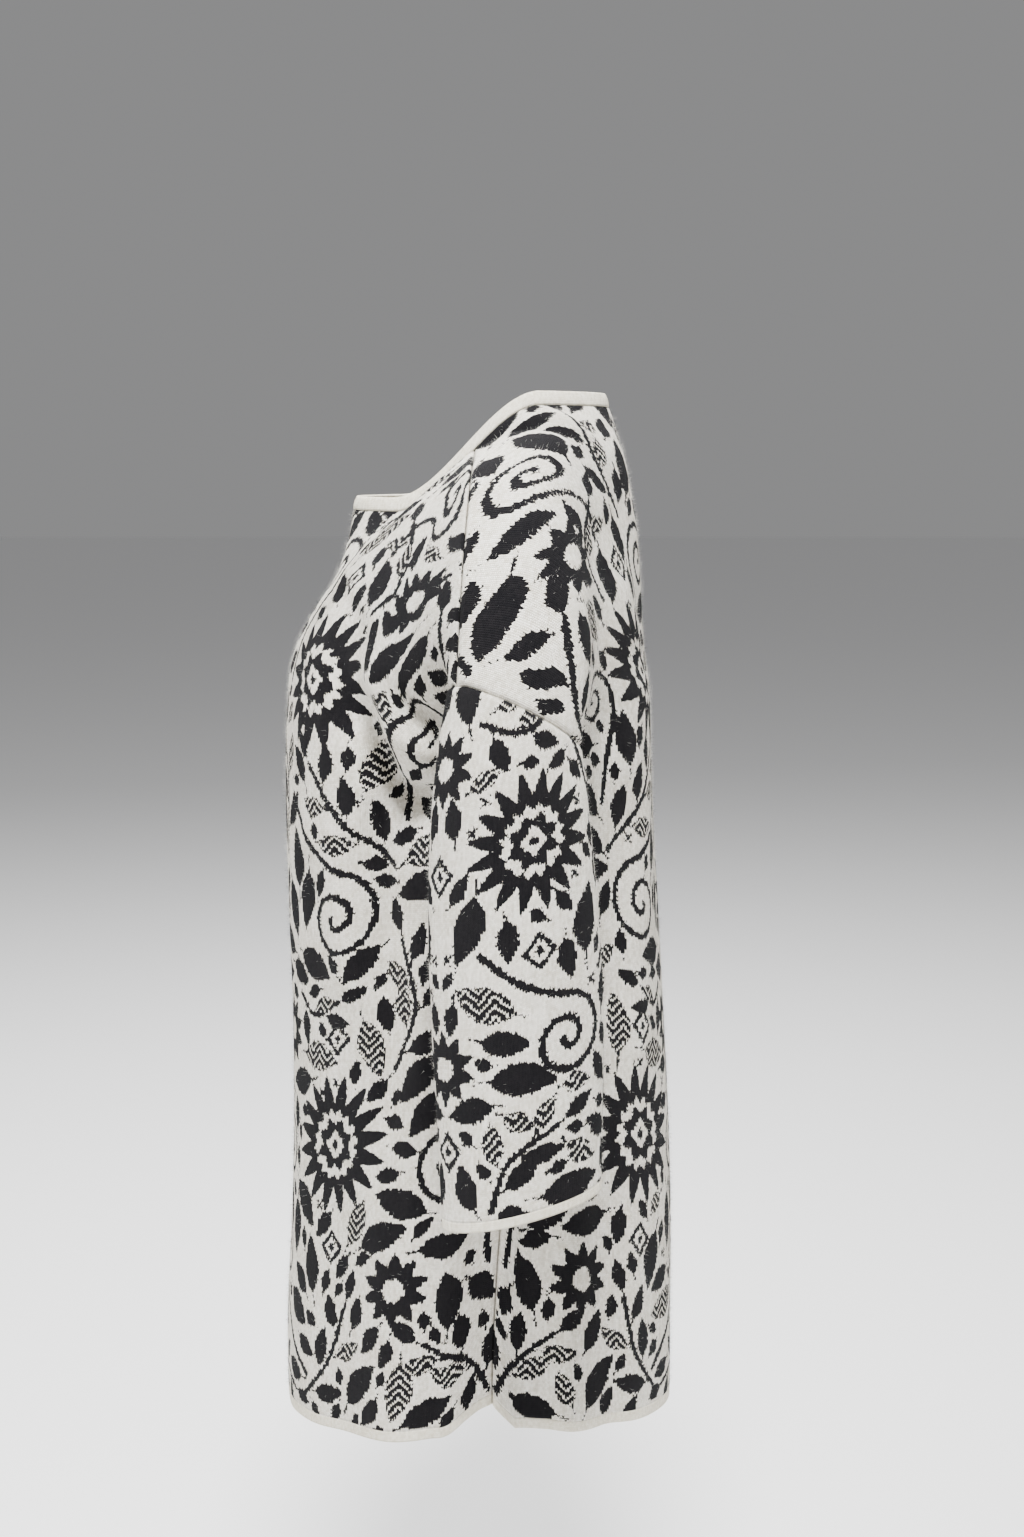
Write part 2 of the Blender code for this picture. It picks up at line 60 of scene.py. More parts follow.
body = {
    "underarmHeight": -0.235,
    "hemHeight": -0.817,
    "hemSideLift": 0.041,
    "hemFrontDip": 0.009,
    "hemDipSpan": 0.045,
    "ventHeight": 0.020,
    "ventFrontSpan": 0.044,
    "ventBackSpan": 0.018,
    "bandHeight": 0.009,
    "sideLineY": 0.005,
    "seamAngleHem": 2.0,
    "seamAngleUnderarm": 14.0,
    "gussetDepth": 0.045,
    "gussetPower": 2.5,
    "justBelow": 0.99,         # share of the way up to the underarm level
    "footBlend": 0.35,
    "headBlend": 0.4,
    "foldBumps": 40,
    "foldFadeTop": 0.12,
    "foldFadeGuides": 0.35,
    "shoulderGuide": 1.9,      # the shoulder seam starts just past this guide line
    "shoulderBlend": 0.3,
    "neckRollShare": 0.25,
    "rollCentreScale": (0.55, 0, 1),      # from a point on the shoulder seam
    "rollCentreShift": (0, 0.010, -0.12),
    "frontShares": (0.0, 0.22, 0.42, 0.64, 0.82, 1.0),
    "backShares": (0.0, 0.25, 0.46, 0.66, 0.83, 1.0),
    "columns": (27, 26, 27, 22, 24),   # between the guide lines of half a panel
    "bandRows": 6,
    "lowerRows": 234,
    "upperRows": 96,
    "sections": (
        # height, half width, front, back, how square the front and back corners are
        (-0.830, 0.186, 0.172, 0.159, 2.35, 2.35),
        (-0.750, 0.184, 0.171, 0.159, 2.35, 2.35),
        (-0.660, 0.180, 0.166, 0.158, 2.35, 2.40),
        (-0.570, 0.175, 0.163, 0.155, 2.40, 2.40),
        (-0.480, 0.170, 0.162, 0.149, 2.40, 2.45),
        (-0.390, 0.166, 0.164, 0.143, 2.45, 2.50),
        (-0.300, 0.164, 0.164, 0.136, 2.50, 2.60),
        (-0.225, 0.164, 0.162, 0.133, 2.50, 2.70),
        (-0.190, 0.163, 0.158, 0.131, 2.40, 2.70),
        (-0.160, 0.161, 0.144, 0.129, 2.20, 2.70),
        (-0.125, 0.157, 0.119, 0.127, 2.00, 2.70),
        (-0.090, 0.151, 0.110, 0.124, 1.80, 2.60),
        (-0.060, 0.142, 0.106, 0.120, 1.65, 2.40),
        (-0.030, 0.130, 0.100, 0.116, 1.55, 2.20),
        (0.000, 0.112, 0.090, 0.109, 1.55, 2.10),
        (0.030, 0.096, 0.075, 0.098, 1.60, 2.10),
    ),
    "guideStops": {
        # x, y, z on the way up each guide line
        ("front", 1): ((0.070, -0.140, -0.168), (0.074, -0.107, -0.112)),
        ("front", 2): ((0.106, -0.121, -0.168), (0.108, -0.085, -0.104), (0.106, -0.042, -0.054)),
        ("front", 3): ((0.154, -0.078, -0.185), (0.166, -0.046, -0.106)),
        ("front", 4): ((0.183, -0.040, -0.196), (0.206, -0.032, -0.148)),
        ("back", 1): ((0.064, 0.127, -0.150), (0.072, 0.119, -0.070), (0.078, 0.100, -0.012)),
        ("back", 2): (
            (0.107, 0.118, -0.140), (0.113, 0.097, -0.060), (0.114, 0.062, -0.008), (0.108, 0.030, -0.006)),
        ("back", 3): ((0.143, 0.104, -0.160), (0.159, 0.086, -0.090), (0.170, 0.048, -0.040)),
        ("back", 4): ((0.190, 0.090, -0.197), (0.214, 0.080, -0.140), (0.228, 0.040, -0.108)),
    },
    "shoulderSeam": ((3, 0.172, -0.004, -0.041), (4, 0.226, -0.009, -0.108)),
    "folds": {
        # height and half width in millimetres, (y, z) points along it, alike on both sides
        "front": (
            (13, 18, ((-80, -172), (-66, -218), (-26, -244))),
            (-9, 14, ((-100, -160), (-92, -228), (-70, -270), (-30, -286))),
            (7, 14, ((-118, -170), (-112, -280), (-100, -440))),
            (-7, 13, ((-78, -280), (-66, -400), (-72, -540))),
            (6, 14, ((-40, -310), (-40, -500))),
            (-4, 20, ((-120, -540), (-112, -720), (-118, -900))),
            (5, 18, ((-70, -600), (-62, -900))),
            (-5, 12, ((-36, -640), (-30, -900))),
            # creases that the solids don't have
            (-15, 12, ((-80, -204), (-75, -240), (-67, -266), (-46, -280), (-20, -278))),
            (9.5, 12, ((-60, -205), (-52, -238), (-26, -250))),
            (-5, 10, ((-106, -128), (-88, -160), (-84, -196))),
            (5, 9, ((-94, -230), (-90, -262), (-92, -310))),
            (4.5, 8, ((-60, -262), (-30, -270), (-4, -262))),
            (-8, 12, ((-56, -285), (-44, -330), (-40, -390))),
            (-6, 11, ((-78, -290), (-72, -350), (-76, -430))),
            (3.5, 9, ((-134, -215), (-128, -260), (-130, -330))),
            (-3, 9, ((-98, -330), (-88, -430), (-94, -520))),
            (2.5, 10, ((-50, -560), (-46, -660), (-52, -760))),
            (-2.5, 9, ((-12, -640), (-14, -740), (-12, -830))),
        ),
        "back": (
            (-9, 15, ((94, -75), (100, -150), (100, -240), (96, -440))),
            (5, 14, ((124, -200), (126, -500))),
            (-5, 14, ((98, -440), (104, -640), (110, -900))),
            (5, 18, ((70, -480), (74, -900))),
            (-4, 14, ((38, -540), (34, -900))),
            # creases that the solids don't have
            (4, 9, ((112, -120), (118, -190), (114, -270))),
            (-3, 9, ((116, -300), (112, -400), (116, -500))),
            (-2.5, 10, ((56, -560), (54, -680), (56, -790))),
        ),
    },
}

neck = {
    "halfWidth": 0.099,
    "frontY": -0.1025,
    "backY": 0.1055,
    "frontHeight": -0.067,
    "backHeight": 0.0145,
    "slopeFromY": -0.066,
    "slopeToY": 0.049,
    "bandDropIn": 0.0065,
    "bandRise": 0.0105,
    "seamTurn": 88.0,      # where the shoulder seam meets the neckline
    "bandPuff": 0.0008,
    "bandColumns": 288,
    "bandRows": 6,
}

sleeve = {
    "armhole": {"x": 0.217, "y": 0.029, "z": -0.210, "halfDepth": 0.048, "halfWidth": 0.042},
    "riseOut": (0.35, 0.05),     # how the rings tilt, at the armhole and at the cuff
    "riseBack": (-0.44, 0.26),
    "underAngle": 150.0,
    "shoulderAngle": 299.0,
    "seamBlend": 60.0,
    "onwardShare": 0.15,         # where the panels' curves are heading past the armhole
    "sections": (
        # share down, x, y, z, half width, half depth
        (0.00, 0.217, 0.029, -0.210, 0.042, 0.048),
        (0.12, 0.228, 0.028, -0.255, 0.043, 0.054),
        (0.35, 0.235, 0.028, -0.340, 0.045, 0.061),
        (0.60, 0.243, 0.031, -0.430, 0.045, 0.062),
        (0.80, 0.251, 0.033, -0.505, 0.044, 0.060),
        (1.00, 0.259, 0.034, -0.562, 0.042, 0.058),
    ),
    "columns": 156,
    "rows": 168,
    "cuffRows": 6,
}


def smooth(t):
    # 3t^2 - 2t^3: from 0 to 1 with level ends
    t = np.clip(t, 0.0, 1.0)
    return t * t * (3.0 - 2.0 * t)


def through(knots, values, at):
    # cubic Hermite curve through the values, its slopes taken from their neighbours
    knots, values = np.asarray(knots, float), np.asarray(values, float)
    at = np.asarray(at, float)
    slope = np.gradient(values, knots, axis=0)
    i = np.clip(np.searchsorted(knots, at) - 1, 0, len(knots) - 2)
    h = knots[i + 1] - knots[i]
    t = (at - knots[i]) / h
    if values.ndim == 2:
        h, t = h[..., None], t[..., None]
    return (
        (1 + 2 * t) * (1 - t) ** 2 * values[i]
        + t * (1 - t) ** 2 * h * slope[i]
        + t * t * (3 - 2 * t) * values[i + 1]
        + t * t * (t - 1) * h * slope[i + 1]
    )


def unit(vectors):
    return vectors / np.maximum(np.linalg.norm(vectors, axis=-1, keepdims=True), 1e-12)


def gridNormals(grid, closed=False):
    # across times up; a closed ring's first and last columns are the same and share theirs
    normals = unit(np.cross(np.gradient(grid, axis=1), np.gradient(grid, axis=0)))
    if closed:
        normals[:, 0] = normals[:, -1] = unit(normals[:, 0] + normals[:, -1])
    return normals


def bodyPoint(angle, height):
    # superellipse section: |x/width|^n + |y/depth|^n = 1, with n and depth unlike front and back
    table = np.array(body["sections"])
    width, front, back, frontSquare, backSquare = (
        through(table[:, 0], table[:, k], height) for k in range(1, 6)
    )
    c, s = np.cos(np.radians(angle)), np.sin(np.radians(angle))
    depth = np.where(s < 0, front, back)
    square = frontSquare + (backSquare - frontSquare) * smooth(0.5 + s / 0.5)
    reach = ((np.abs(c) / width) ** square + (np.abs(s) / depth) ** square) ** (-1 / square)
    return np.stack([reach * c, body["sideLineY"] + reach * s, height + 0 * reach], axis=-1)


def neckLoop(turn, edge):
    # ellipse seen from above, whose height climbs smoothly from front to back
    turn = np.radians(turn)
    halfWidth = neck["halfWidth"] - neck["bandDropIn"] * edge
    centreY = (neck["backY"] + neck["frontY"]) / 2
    halfDepth = (neck["backY"] - neck["frontY"]) / 2 - 0.5 * neck["bandDropIn"] * edge
    y = centreY - halfDepth * np.cos(turn)
    climb = smooth((y - neck["slopeFromY"]) / (neck["slopeToY"] - neck["slopeFromY"]))
    z = neck["frontHeight"] + (neck["backHeight"] - neck["frontHeight"]) * climb
    return np.stack([halfWidth * np.sin(turn), y, z + edge * neck["bandRise"]], axis=-1)


def armholeLoop(angle):
    # tilted ellipse, angle 0 straight out
    hole = sleeve["armhole"]
    dx = hole["halfWidth"] * np.cos(np.radians(angle))
    dy = hole["halfDepth"] * np.sin(np.radians(angle))
    z = hole["z"] + sleeve["riseOut"][0] * dx + sleeve["riseBack"][0] * dy
    return np.stack([hole["x"] + dx, hole["y"] + dy, z], axis=-1)


def armholeAngle(panel, climb):
    shoulder = sleeve["shoulderAngle"] - (0 if panel == "front" else 360)
    return sleeve["underAngle"] + (shoulder - sleeve["underAngle"]) * climb


def sleevePoint(angle, share):
    # tilted ellipses along the sleeve's line, share 0 at the armhole and 1 at the cuff
    table = np.array(sleeve["sections"])
    x, y, z, halfWidth, halfDepth = (through(table[:, 0], table[:, k], share) for k in range(1, 6))
    dx, dy = halfWidth * np.cos(np.radians(angle)), halfDepth * np.sin(np.radians(angle))
    (outTop, outCuff), (backTop, backCuff) = sleeve["riseOut"], sleeve["riseBack"]
    ease = smooth(share)
    rise = (outTop + (outCuff - outTop) * ease) * dx + (backTop + (backCuff - backTop) * ease) * dy
    return np.stack([x + dx, y + dy, z + rise], axis=-1)


def shoulderSeam(guide):
    knots = [2, 3, 4, 5]
    points = [neckLoop(neck["seamTurn"], 0)]
    points += [np.array(row[1:]) for row in body["shoulderSeam"]]
    points += [armholeLoop(sleeve["shoulderAngle"])]
    return through(knots, np.array(points), guide)


def topEdge(panel, guide):
    # the neckline up to guide 2, then the shoulder seam
    part = np.minimum(guide, 2) / 2
    turn = neck["seamTurn"] * part if panel == "front" else 180 - (180 - neck["seamTurn"]) * part
    onSeam = guide[..., None] > 2
    return np.where(onSeam, shoulderSeam(np.maximum(guide, 2)), neckLoop(turn, 0))


def panelAngle(panel, guide, rise):
    share = through(range(6), body[panel + "Shares"], guide)
    seam = body["seamAngleHem"] + (body["seamAngleUnderarm"] - body["seamAngleHem"]) * smooth(rise)
    centre = -90.0 if panel == "front" else 90.0
    return centre + share * (seam - centre)


def hemLine(panel, guide):
    # lifted towards the sides, with a notch beside the side seam
    angle = panelAngle(panel, guide, np.zeros_like(guide))
    fromSeam = bodyPoint(angle, np.full_like(guide, body["hemHeight"]))[..., 1]
    seamY = bodyPoint(np.array([body["seamAngleHem"]]), np.array([body["hemHeight"]]))[0, 1]
    away = np.abs(fromSeam - seamY)
    if panel == "front":
        sideLift = body["hemSideLift"] - body["hemFrontDip"] * smooth(away / body["hemDipSpan"])
        notch = body["ventHeight"] * (1 - smooth(away / body["ventFrontSpan"]))
    else:
        sideLift = body["hemSideLift"]
        notch = body["ventHeight"] * np.clip(1 - away / body["ventBackSpan"], 0, 1)
    return body["hemHeight"] + sideLift * np.cos(np.radians(angle)) ** 2 + notch


def lowerBody(panel, guide, rise):
    # the body's section at each height, drawn out to the armhole just below the underarm
    hem = hemLine(panel, guide)
    height = hem + (body["underarmHeight"] - hem) * rise
    points = bodyPoint(panelAngle(panel, guide, rise), height)
    seamTop = bodyPoint(np.array([body["seamAngleUnderarm"]]), np.array([body["underarmHeight"]]))[0]
    pull = armholeLoop(sleeve["underAngle"]) - seamTop
    near = smooth(1 - (body["underarmHeight"] - height) / body["gussetDepth"])
    reach = np.clip(guide - 4, 0, 1) ** body["gussetPower"] * near
    return points + reach[..., None] * pull


def guideLine(panel, guide, climb):
    # one line of the cloth from the underarm level up to the neckline or shoulder seam
    foot = lowerBody(panel, np.array([float(guide)]), np.array([1.0]))[0]
    head = topEdge(panel, np.array([float(guide)]))[0]
    if guide == 5:
        return armholeLoop(armholeAngle(panel, climb))
    if guide == 0:
        height = foot[2] + (head[2] - foot[2]) * climb
        return bodyPoint(-90.0 if panel == "front" else 90.0, height)
    below = lowerBody(panel, np.array([float(guide)]), np.array([body["justBelow"]]))[0]
    points = np.array([below, foot, *body["guideStops"][panel, guide], head])
    steps = np.linalg.norm(np.diff(points, axis=0), axis=1)
    knots = np.concatenate([[0], np.cumsum(steps)]) - steps[0]
    return through(knots / knots[-1], points, climb)


def upperBody(panel, guide, climb):
    # Catmull-Rom curves across the six guide lines, with the edges kept exact
    levels = climb[:, 0]
    lines = [guideLine(panel, k, levels) for k in range(6)]
    onward = sleevePoint(armholeAngle(panel, levels), sleeve["onwardShare"])
    lines = np.array([lines[1] * [-1, 1, 1], *lines, onward])
    k = np.clip(guide[0].astype(int), 0, 4)
    t = (guide[0] - k)[None, :, None]
    a, b, c, d = (lines[k + i].transpose(1, 0, 2) for i in range(4))
    surface = 0.5 * (
        2 * b + (c - a) * t + (2 * a - 5 * b + 4 * c - d) * t**2 + (3 * b - a - 3 * c + d) * t**3
    )
    foot = lowerBody(panel, guide[:1], np.ones_like(guide[:1]))
    head = topEdge(panel, guide[:1])
    low = (1 - smooth(climb / body["footBlend"]))[..., None]
    high = smooth((climb - (1 - body["headBlend"])) / body["headBlend"])[..., None]
    return surface + low * (foot - surface[:1]) + high * (head - surface[-1:])


def foldHeight(panel, points):
    # each fold is a row of round Gaussian bumps along its line, seen from the side
    total = np.zeros(points.shape[:-1])
    for height, halfWidth, line in body["folds"][panel]:
        height, halfWidth, line = height / 1000, halfWidth / 1000, np.array(line) / 1000
        along = np.concatenate([[0], np.cumsum(np.linalg.norm(np.diff(line, axis=0), axis=1))])
        bumps = through(along, line, np.linspace(0, along[-1], body["foldBumps"]))
        share = along[-1] / (body["foldBumps"] - 1) / (halfWidth * math.sqrt(math.pi))
        for y, z in bumps:
            away = (points[..., 1] - y) ** 2 + (points[..., 2] - z) ** 2
            total += height * share * np.exp(-away / halfWidth**2)
    return total


def slightWaves(across, up, seed):
    # the mean of a few sine waves of random direction and length
    random = np.random.default_rng(seed)
    total = np.zeros_like(across)
    for _ in range(cloth["waveCount"]):
        spans = ((0, math.pi), cloth["waveLength"], (0, 6.28))
        turn, length, phase = (random.uniform(*span) for span in spans)
        along = across * math.cos(turn) + cloth["waveUp"] * up * math.sin(turn)
        total += np.sin(2 * math.pi * along / length + phase)
    return total / cloth["waveCount"] * cloth["waveHeight"] * cloth["waveGain"]


def arcLength(grid, axis):
    steps = np.linalg.norm(np.diff(grid, axis=axis), axis=-1)
    return np.concatenate([np.zeros_like(np.take(steps, [0], axis)), np.cumsum(steps, axis=axis)], axis=axis)


def acrossFrom(grid, column):
    # mean distance along the rows from one column, alike in every row
    across = arcLength(grid, 1)
    return (across - across[:, column:column + 1]).mean(axis=0)[None, :] + 0 * across


def seamRoll(away):
    # the cloth turns in towards a seam, by a parabola over the last few millimetres
    return -cloth["seamRollDepth"] * np.clip(1 - away / cloth["seamRollWidth"], 0, 1) ** 2


def panelSurface(panel, seed):
    # rows from hem to top, columns from the dress's right to its left
    counts = body["columns"]
    parts = [np.linspace(k, k + 1, n, endpoint=False) for k, n in enumerate(counts)]
    columns = np.concatenate([*parts, [5.0]])
    band = body["bandHeight"] / (body["underarmHeight"] - body["hemHeight"])
    rise = np.concatenate([
        np.linspace(0, band, body["bandRows"], endpoint=False),
        np.linspace(band, 1, body["lowerRows"] + 1),
    ])
    climb = np.linspace(0, 1, body["upperRows"] + 1)
    lower = lowerBody(panel, *np.meshgrid(columns, rise))
    upper = upperBody(panel, *np.meshgrid(columns, climb))[1:]
    half = np.concatenate([lower, upper])
    whole = np.concatenate([half[:, :0:-1] * [-1, 1, 1], half], axis=1)
    fromSeam = 5 - np.abs(np.concatenate([-columns[:0:-1], columns]))
    fromTop = np.concatenate([np.full(len(rise), 1.0), 1 - climb[1:]])
    fade = smooth(fromTop / body["foldFadeTop"])[:, None] * smooth(fromSeam / body["foldFadeGuides"])
    facing = 1 if panel == "front" else -1
    whole = whole + (foldHeight(panel, whole) * fade * facing)[..., None] * gridNormals(whole)
    # cloth coordinates, and the distance to the side and top seams
    across = acrossFrom(whole, len(columns) - 1)
    up = arcLength(whole, 0)
    side = np.minimum(arcLength(whole, 1), arcLength(whole[:, ::-1], 1)[:, ::-1])
    top = arcLength(whole[::-1], 0)[::-1]
    edge = np.minimum(side, top)
    # the seam roll is slight along the neckline, which ends at guide 2, and deep at the shoulder
    atShoulder = smooth((np.abs(5 - fromSeam) - body["shoulderGuide"]) / body["shoulderBlend"])
    roll = np.minimum(seamRoll(side), seamRoll(top) * (body["neckRollShare"] + atShoulder))
    push = slightWaves(across, up, seed) * smooth(edge / cloth["edgeFade"]) + roll
    # there front and back roll the same way, away from a line inside the shoulder
    inside = whole[-1:] * body["rollCentreScale"] + body["rollCentreShift"]
    same = (atShoulder * smooth(1 - top / (2 * cloth["seamRollWidth"])))[..., None]
    outward = facing * gridNormals(whole)
    outward = unit(outward + same * (unit(whole - inside) - outward))
    whole = whole + push[..., None] * outward
    if panel == "back":
        return whole[:, ::-1], across[:, ::-1], up[:, ::-1]
    return whole, across, up


def sleeveSurface(seed):
    # rings from the cuff up, columns from the under seam forwards, round to the under seam
    angle = np.linspace(sleeve["underAngle"] - 360, sleeve["underAngle"], sleeve["columns"] + 1)
    length = sleeve["armhole"]["z"] - sleeve["sections"][-1][3]
    band = body["bandHeight"] / length
    share = np.concatenate([
        np.linspace(1, 1 - band, sleeve["cuffRows"], endpoint=False),
        np.linspace(1 - band, 0, sleeve["rows"] + 1),
    ])
    whole = sleevePoint(*np.meshgrid(angle, share))
    top = np.argmin(np.abs(angle - (sleeve["shoulderAngle"] - 360)))
    across = acrossFrom(whole, top)
    up = arcLength(whole, 0)
    fromTop = arcLength(whole[::-1], 0)[::-1]
    wave = slightWaves(across, up, seed)
    first, last = (smooth(away / sleeve["seamBlend"]) for away in (angle - angle[0], angle[-1] - angle))
    push = wave * smooth(fromTop / cloth["edgeFade"]) * (first * last) + seamRoll(fromTop)
    return whole + push[..., None] * gridNormals(whole, closed=True), across, up


def neckSurface():
    # rings from the neckline up, puffed out by half a sine
    turn = np.linspace(0, 360, neck["bandColumns"] + 1)
    edge = np.linspace(0, 1, neck["bandRows"] + 1)
    turn, edge = np.meshgrid(turn, edge)
    whole = neckLoop(turn, edge)
    whole = whole + (neck["bandPuff"] * np.sin(math.pi * edge))[..., None] * gridNormals(whole, closed=True)
    across = arcLength(whole, 1)
    return whole, across[:1] + 0 * across, arcLength(whole, 0)


# A motif is ("black", "veined" or "cream", shape, middle across, middle up, reach, the shape's values).
# A shape gives how far inside its outline a place lies, in metres, less than 0 outside.
drawing = {
    "nothing": -0.02,            # ink far from any motif
    "margin": 0.012,             # a motif is worked out this far past its reach
    "stalkShare": 0.2,
    "stalkHalfWidth": 0.0011,
    "bladePower": 0.85,
    "stemHalfWidth": 0.0024,
    "scrollHalfWidth": 0.0027,
    "scrollTurns": 1.75,
    "scrollInnerRadius": 2.0,    # in millimetres, as the path's step and the layouts below
    "crossHalfWidth": 0.0013,
    "raySlope": 0.75,            # a ray's edge slopes, so the distance to it is shorter than along r
    "pathStep": 1.4,
    "sprigPath": (60, 8, 48),    # points along the stem, the first leaf's, and how far on the rest go
    "sprigLean": 38,             # degrees from the stem
    "sprigTaper": 0.22,
    "sprigBend": 0.05,
    "tipShare": 0.8,
}


def leafOutline(along):
    # half the width of a leaf one unit wide: sin(pi t^p)^p / 2 along the blade, past the stalk
    blade = np.clip((along - drawing["stalkShare"]) / (1 - drawing["stalkShare"]), 0, 1)
    return np.sin(math.pi * blade ** drawing["bladePower"]) ** drawing["bladePower"] / 2


def leafShape(a, b, angle, length, width, bend):
    # pointed oval on a short stalk, bent by a parabola
    c, s = math.cos(angle), math.sin(angle)
    along = (a * c + b * s) / length + 0.5
    sideways = b * c - a * s - bend * length * 4 * along * (1 - along)
    half = np.maximum(width * leafOutline(along), drawing["stalkHalfWidth"])
    return np.minimum(half - np.abs(sideways), np.minimum(along, 1 - along) * length)


def strokeShape(a, b, path, halfWidth):
    # distance to the nearest point of the path
    away = np.full(a.shape, 1.0)
    for x, y in path:
        away = np.minimum(away, (a - x) ** 2 + (b - y) ** 2)
    return halfWidth - np.sqrt(away)


def raysShape(a, b, outer, inner, rays, turn):
    # star whose edge swings between two radii along straight sides
    r = np.hypot(a, b)
    part = (np.arctan2(b, a) - turn) * rays / (2 * math.pi)
    swing = np.abs(part - np.floor(part) - 0.5) * 2
    return (inner + (outer - inner) * swing - r) * drawing["raySlope"]


def roundShape(a, b, radius):
    return radius - np.hypot(a, b)


def lozengeShape(a, b, halfAcross, halfUp):
    inside = 1 - np.abs(a) / halfAcross - np.abs(b) / halfUp
    return inside * halfAcross * halfUp / math.hypot(halfAcross, halfUp)


def crossShape(a, b, length, halfWidth):
    # two strokes at 45 degrees
    p, q = np.abs(a + b) / math.sqrt(2), np.abs(a - b) / math.sqrt(2)
    return np.maximum(
        np.minimum(halfWidth - p, length / 2 - q), np.minimum(halfWidth - q, length / 2 - p)
    )


def inkAt(across, up, motifs):
    # black and veined motifs are joined on, cream ones are cut out, in their order
    ink = np.full(across.shape, drawing["nothing"])
    for mark, shape, a, b, reach, values in motifs:
        reach = reach + drawing["margin"]
        near = (np.abs(across - a) < reach) & (np.abs(up - b) < reach)
        if near.any():
            field = shape(across[near] - a, up[near] - b, *values)
            ink[near] = np.minimum(ink[near], -field) if mark == "cream" else np.maximum(ink[near], field)
    return ink


def curve(points, count):
    # smooth path through a few points given in millimetres
    points = np.array(points) / 1000
    steps = np.concatenate([[0], np.cumsum(np.linalg.norm(np.diff(points, axis=0), axis=1))])
    return through(steps, points, np.linspace(0, steps[-1], count))


def stroke(points, halfWidth):
    length = np.abs(np.diff(np.array(points), axis=0)).sum()
    path = curve(points, max(8, int(length / drawing["pathStep"])))
    middle = (path.min(axis=0) + path.max(axis=0)) / 2
    reach = np.abs(path - middle).max() + halfWidth
    return ("black", strokeShape, middle[0], middle[1], reach, (path - middle, halfWidth))


def leaf(a, b, degrees, length, width, bend=0.0, mark="black"):
    # a and b are the foot of the stalk, in millimetres
    angle = math.radians(degrees)
    middleA = (a + length / 2 * math.cos(angle)) / 1000
    middleB = (b + length / 2 * math.sin(angle)) / 1000
    values = (angle, length / 1000, width / 1000, bend)
    return (mark, leafShape, middleA, middleB, 0.55 * length / 1000, values)


def flower(a, b, radius, rays):
    # a ray flower: ring of points, cream ring, small star with a lozenge eye
    a, b, r = a / 1000, b / 1000, radius / 1000
    turn = math.pi / rays
    return [
        ("black", raysShape, a, b, r, (r, r * 0.58, rays, turn)),
        ("cream", raysShape, a, b, r * 0.5, (r * 0.50, r * 0.40, rays, turn)),
        ("black", raysShape, a, b, r * 0.4, (r * 0.40, r * 0.28, 8, math.pi / 8)),
        ("cream", lozengeShape, a, b, r * 0.22, (r * 0.21, r * 0.21)),
        ("black", lozengeShape, a, b, r * 0.1, (r * 0.09, r * 0.09)),
    ]


def star(a, b, radius, rays):
    a, b, r = a / 1000, b / 1000, radius / 1000
    return [
        ("black", raysShape, a, b, r, (r, r * 0.62, rays, math.pi / rays)),
        ("cream", roundShape, a, b, r * 0.31, (r * 0.31,)),
    ]


def eye(a, b, half):
    a, b, h = a / 1000, b / 1000, half / 1000
    return [
        ("black", lozengeShape, a, b, h * 1.1, (h, h * 1.1)),
        ("cream", lozengeShape, a, b, h * 0.66, (h * 0.62, h * 0.68)),
        ("black", lozengeShape, a, b, h * 0.3, (h * 0.3, h * 0.33)),
    ]


def cross(a, b, length):
    length = length / 1000
    return ("black", crossShape, a / 1000, b / 1000, length, (length, drawing["crossHalfWidth"]))


def scroll(a, b, radius, hand, start, tail):
    # Archimedean spiral, whose radius grows with the turn, running on into a tail through given points
    turn = np.linspace(0, 2 * math.pi * drawing["scrollTurns"], 40)
    angle = math.radians(start) + hand * (turn - turn[-1])
    r = drawing["scrollInnerRadius"] + (radius - drawing["scrollInnerRadius"]) * turn / turn[-1]
    spiral = np.stack([a + r * np.cos(angle), b + r * np.sin(angle)], axis=1)
    return [stroke([*spiral.tolist(), *tail], drawing["scrollHalfWidth"])]


def sprig(points, leaves, length, width, veinsEvery):
    # a stem with leaves in turn on both sides, and one at its tip
    made = [stroke(points, drawing["stemHalfWidth"])]
    count, first, further = drawing["sprigPath"]
    path = curve(points, count) * 1000
    for k in range(leaves):
        i = int(first + further * k / leaves)
        heading = math.degrees(math.atan2(*(path[i + 2] - path[i - 2])[::-1]))
        side = 1 if k % 2 else -1
        mark = "veined" if veinsEvery and k % veinsEvery == veinsEvery - 1 else "black"
        size = length * (1 - drawing["sprigTaper"] * k / leaves)
        bend = drawing["sprigBend"] * side
        degrees = heading + side * drawing["sprigLean"]
        made.append(leaf(*path[i], degrees, size, width * size / length, bend, mark))
    heading = math.degrees(math.atan2(*(path[-1] - path[-4])[::-1]))
    tip = drawing["tipShare"]
    made.append(leaf(*path[-1], heading, length * tip, width * tip))
    return made


filling = {
    "cell": 0.0015,
    "tries": 9000,
    "edge": (0.003, 0.004),      # leaves' middles stay this far inside, across and up
    "swingDegrees": (60, 40),    # how their direction swings with sine waves over the cloth
    "swingRate": (21, 23),
    "looseDegrees": 40,
    "veinedOver": 30,            # longer leaves may be veined
    "veinedShare": 0.2,
    "bend": 0.07,
    "crossTries": 900,
    "crossEdge": 0.006,
    "crossRoom": 0.0078,
    "crossLength": 10,           # in millimetres, as the leaves
    "sizes": (
        # leaf length and width in millimetres, room around it in metres
        (62, 24, 0.0020), (54, 21, 0.0019), (46, 19, 0.0019), (38, 16, 0.0018), (31, 14, 0.0018),
        (25, 12, 0.0018), (19, 10, 0.0018),
    ),
}


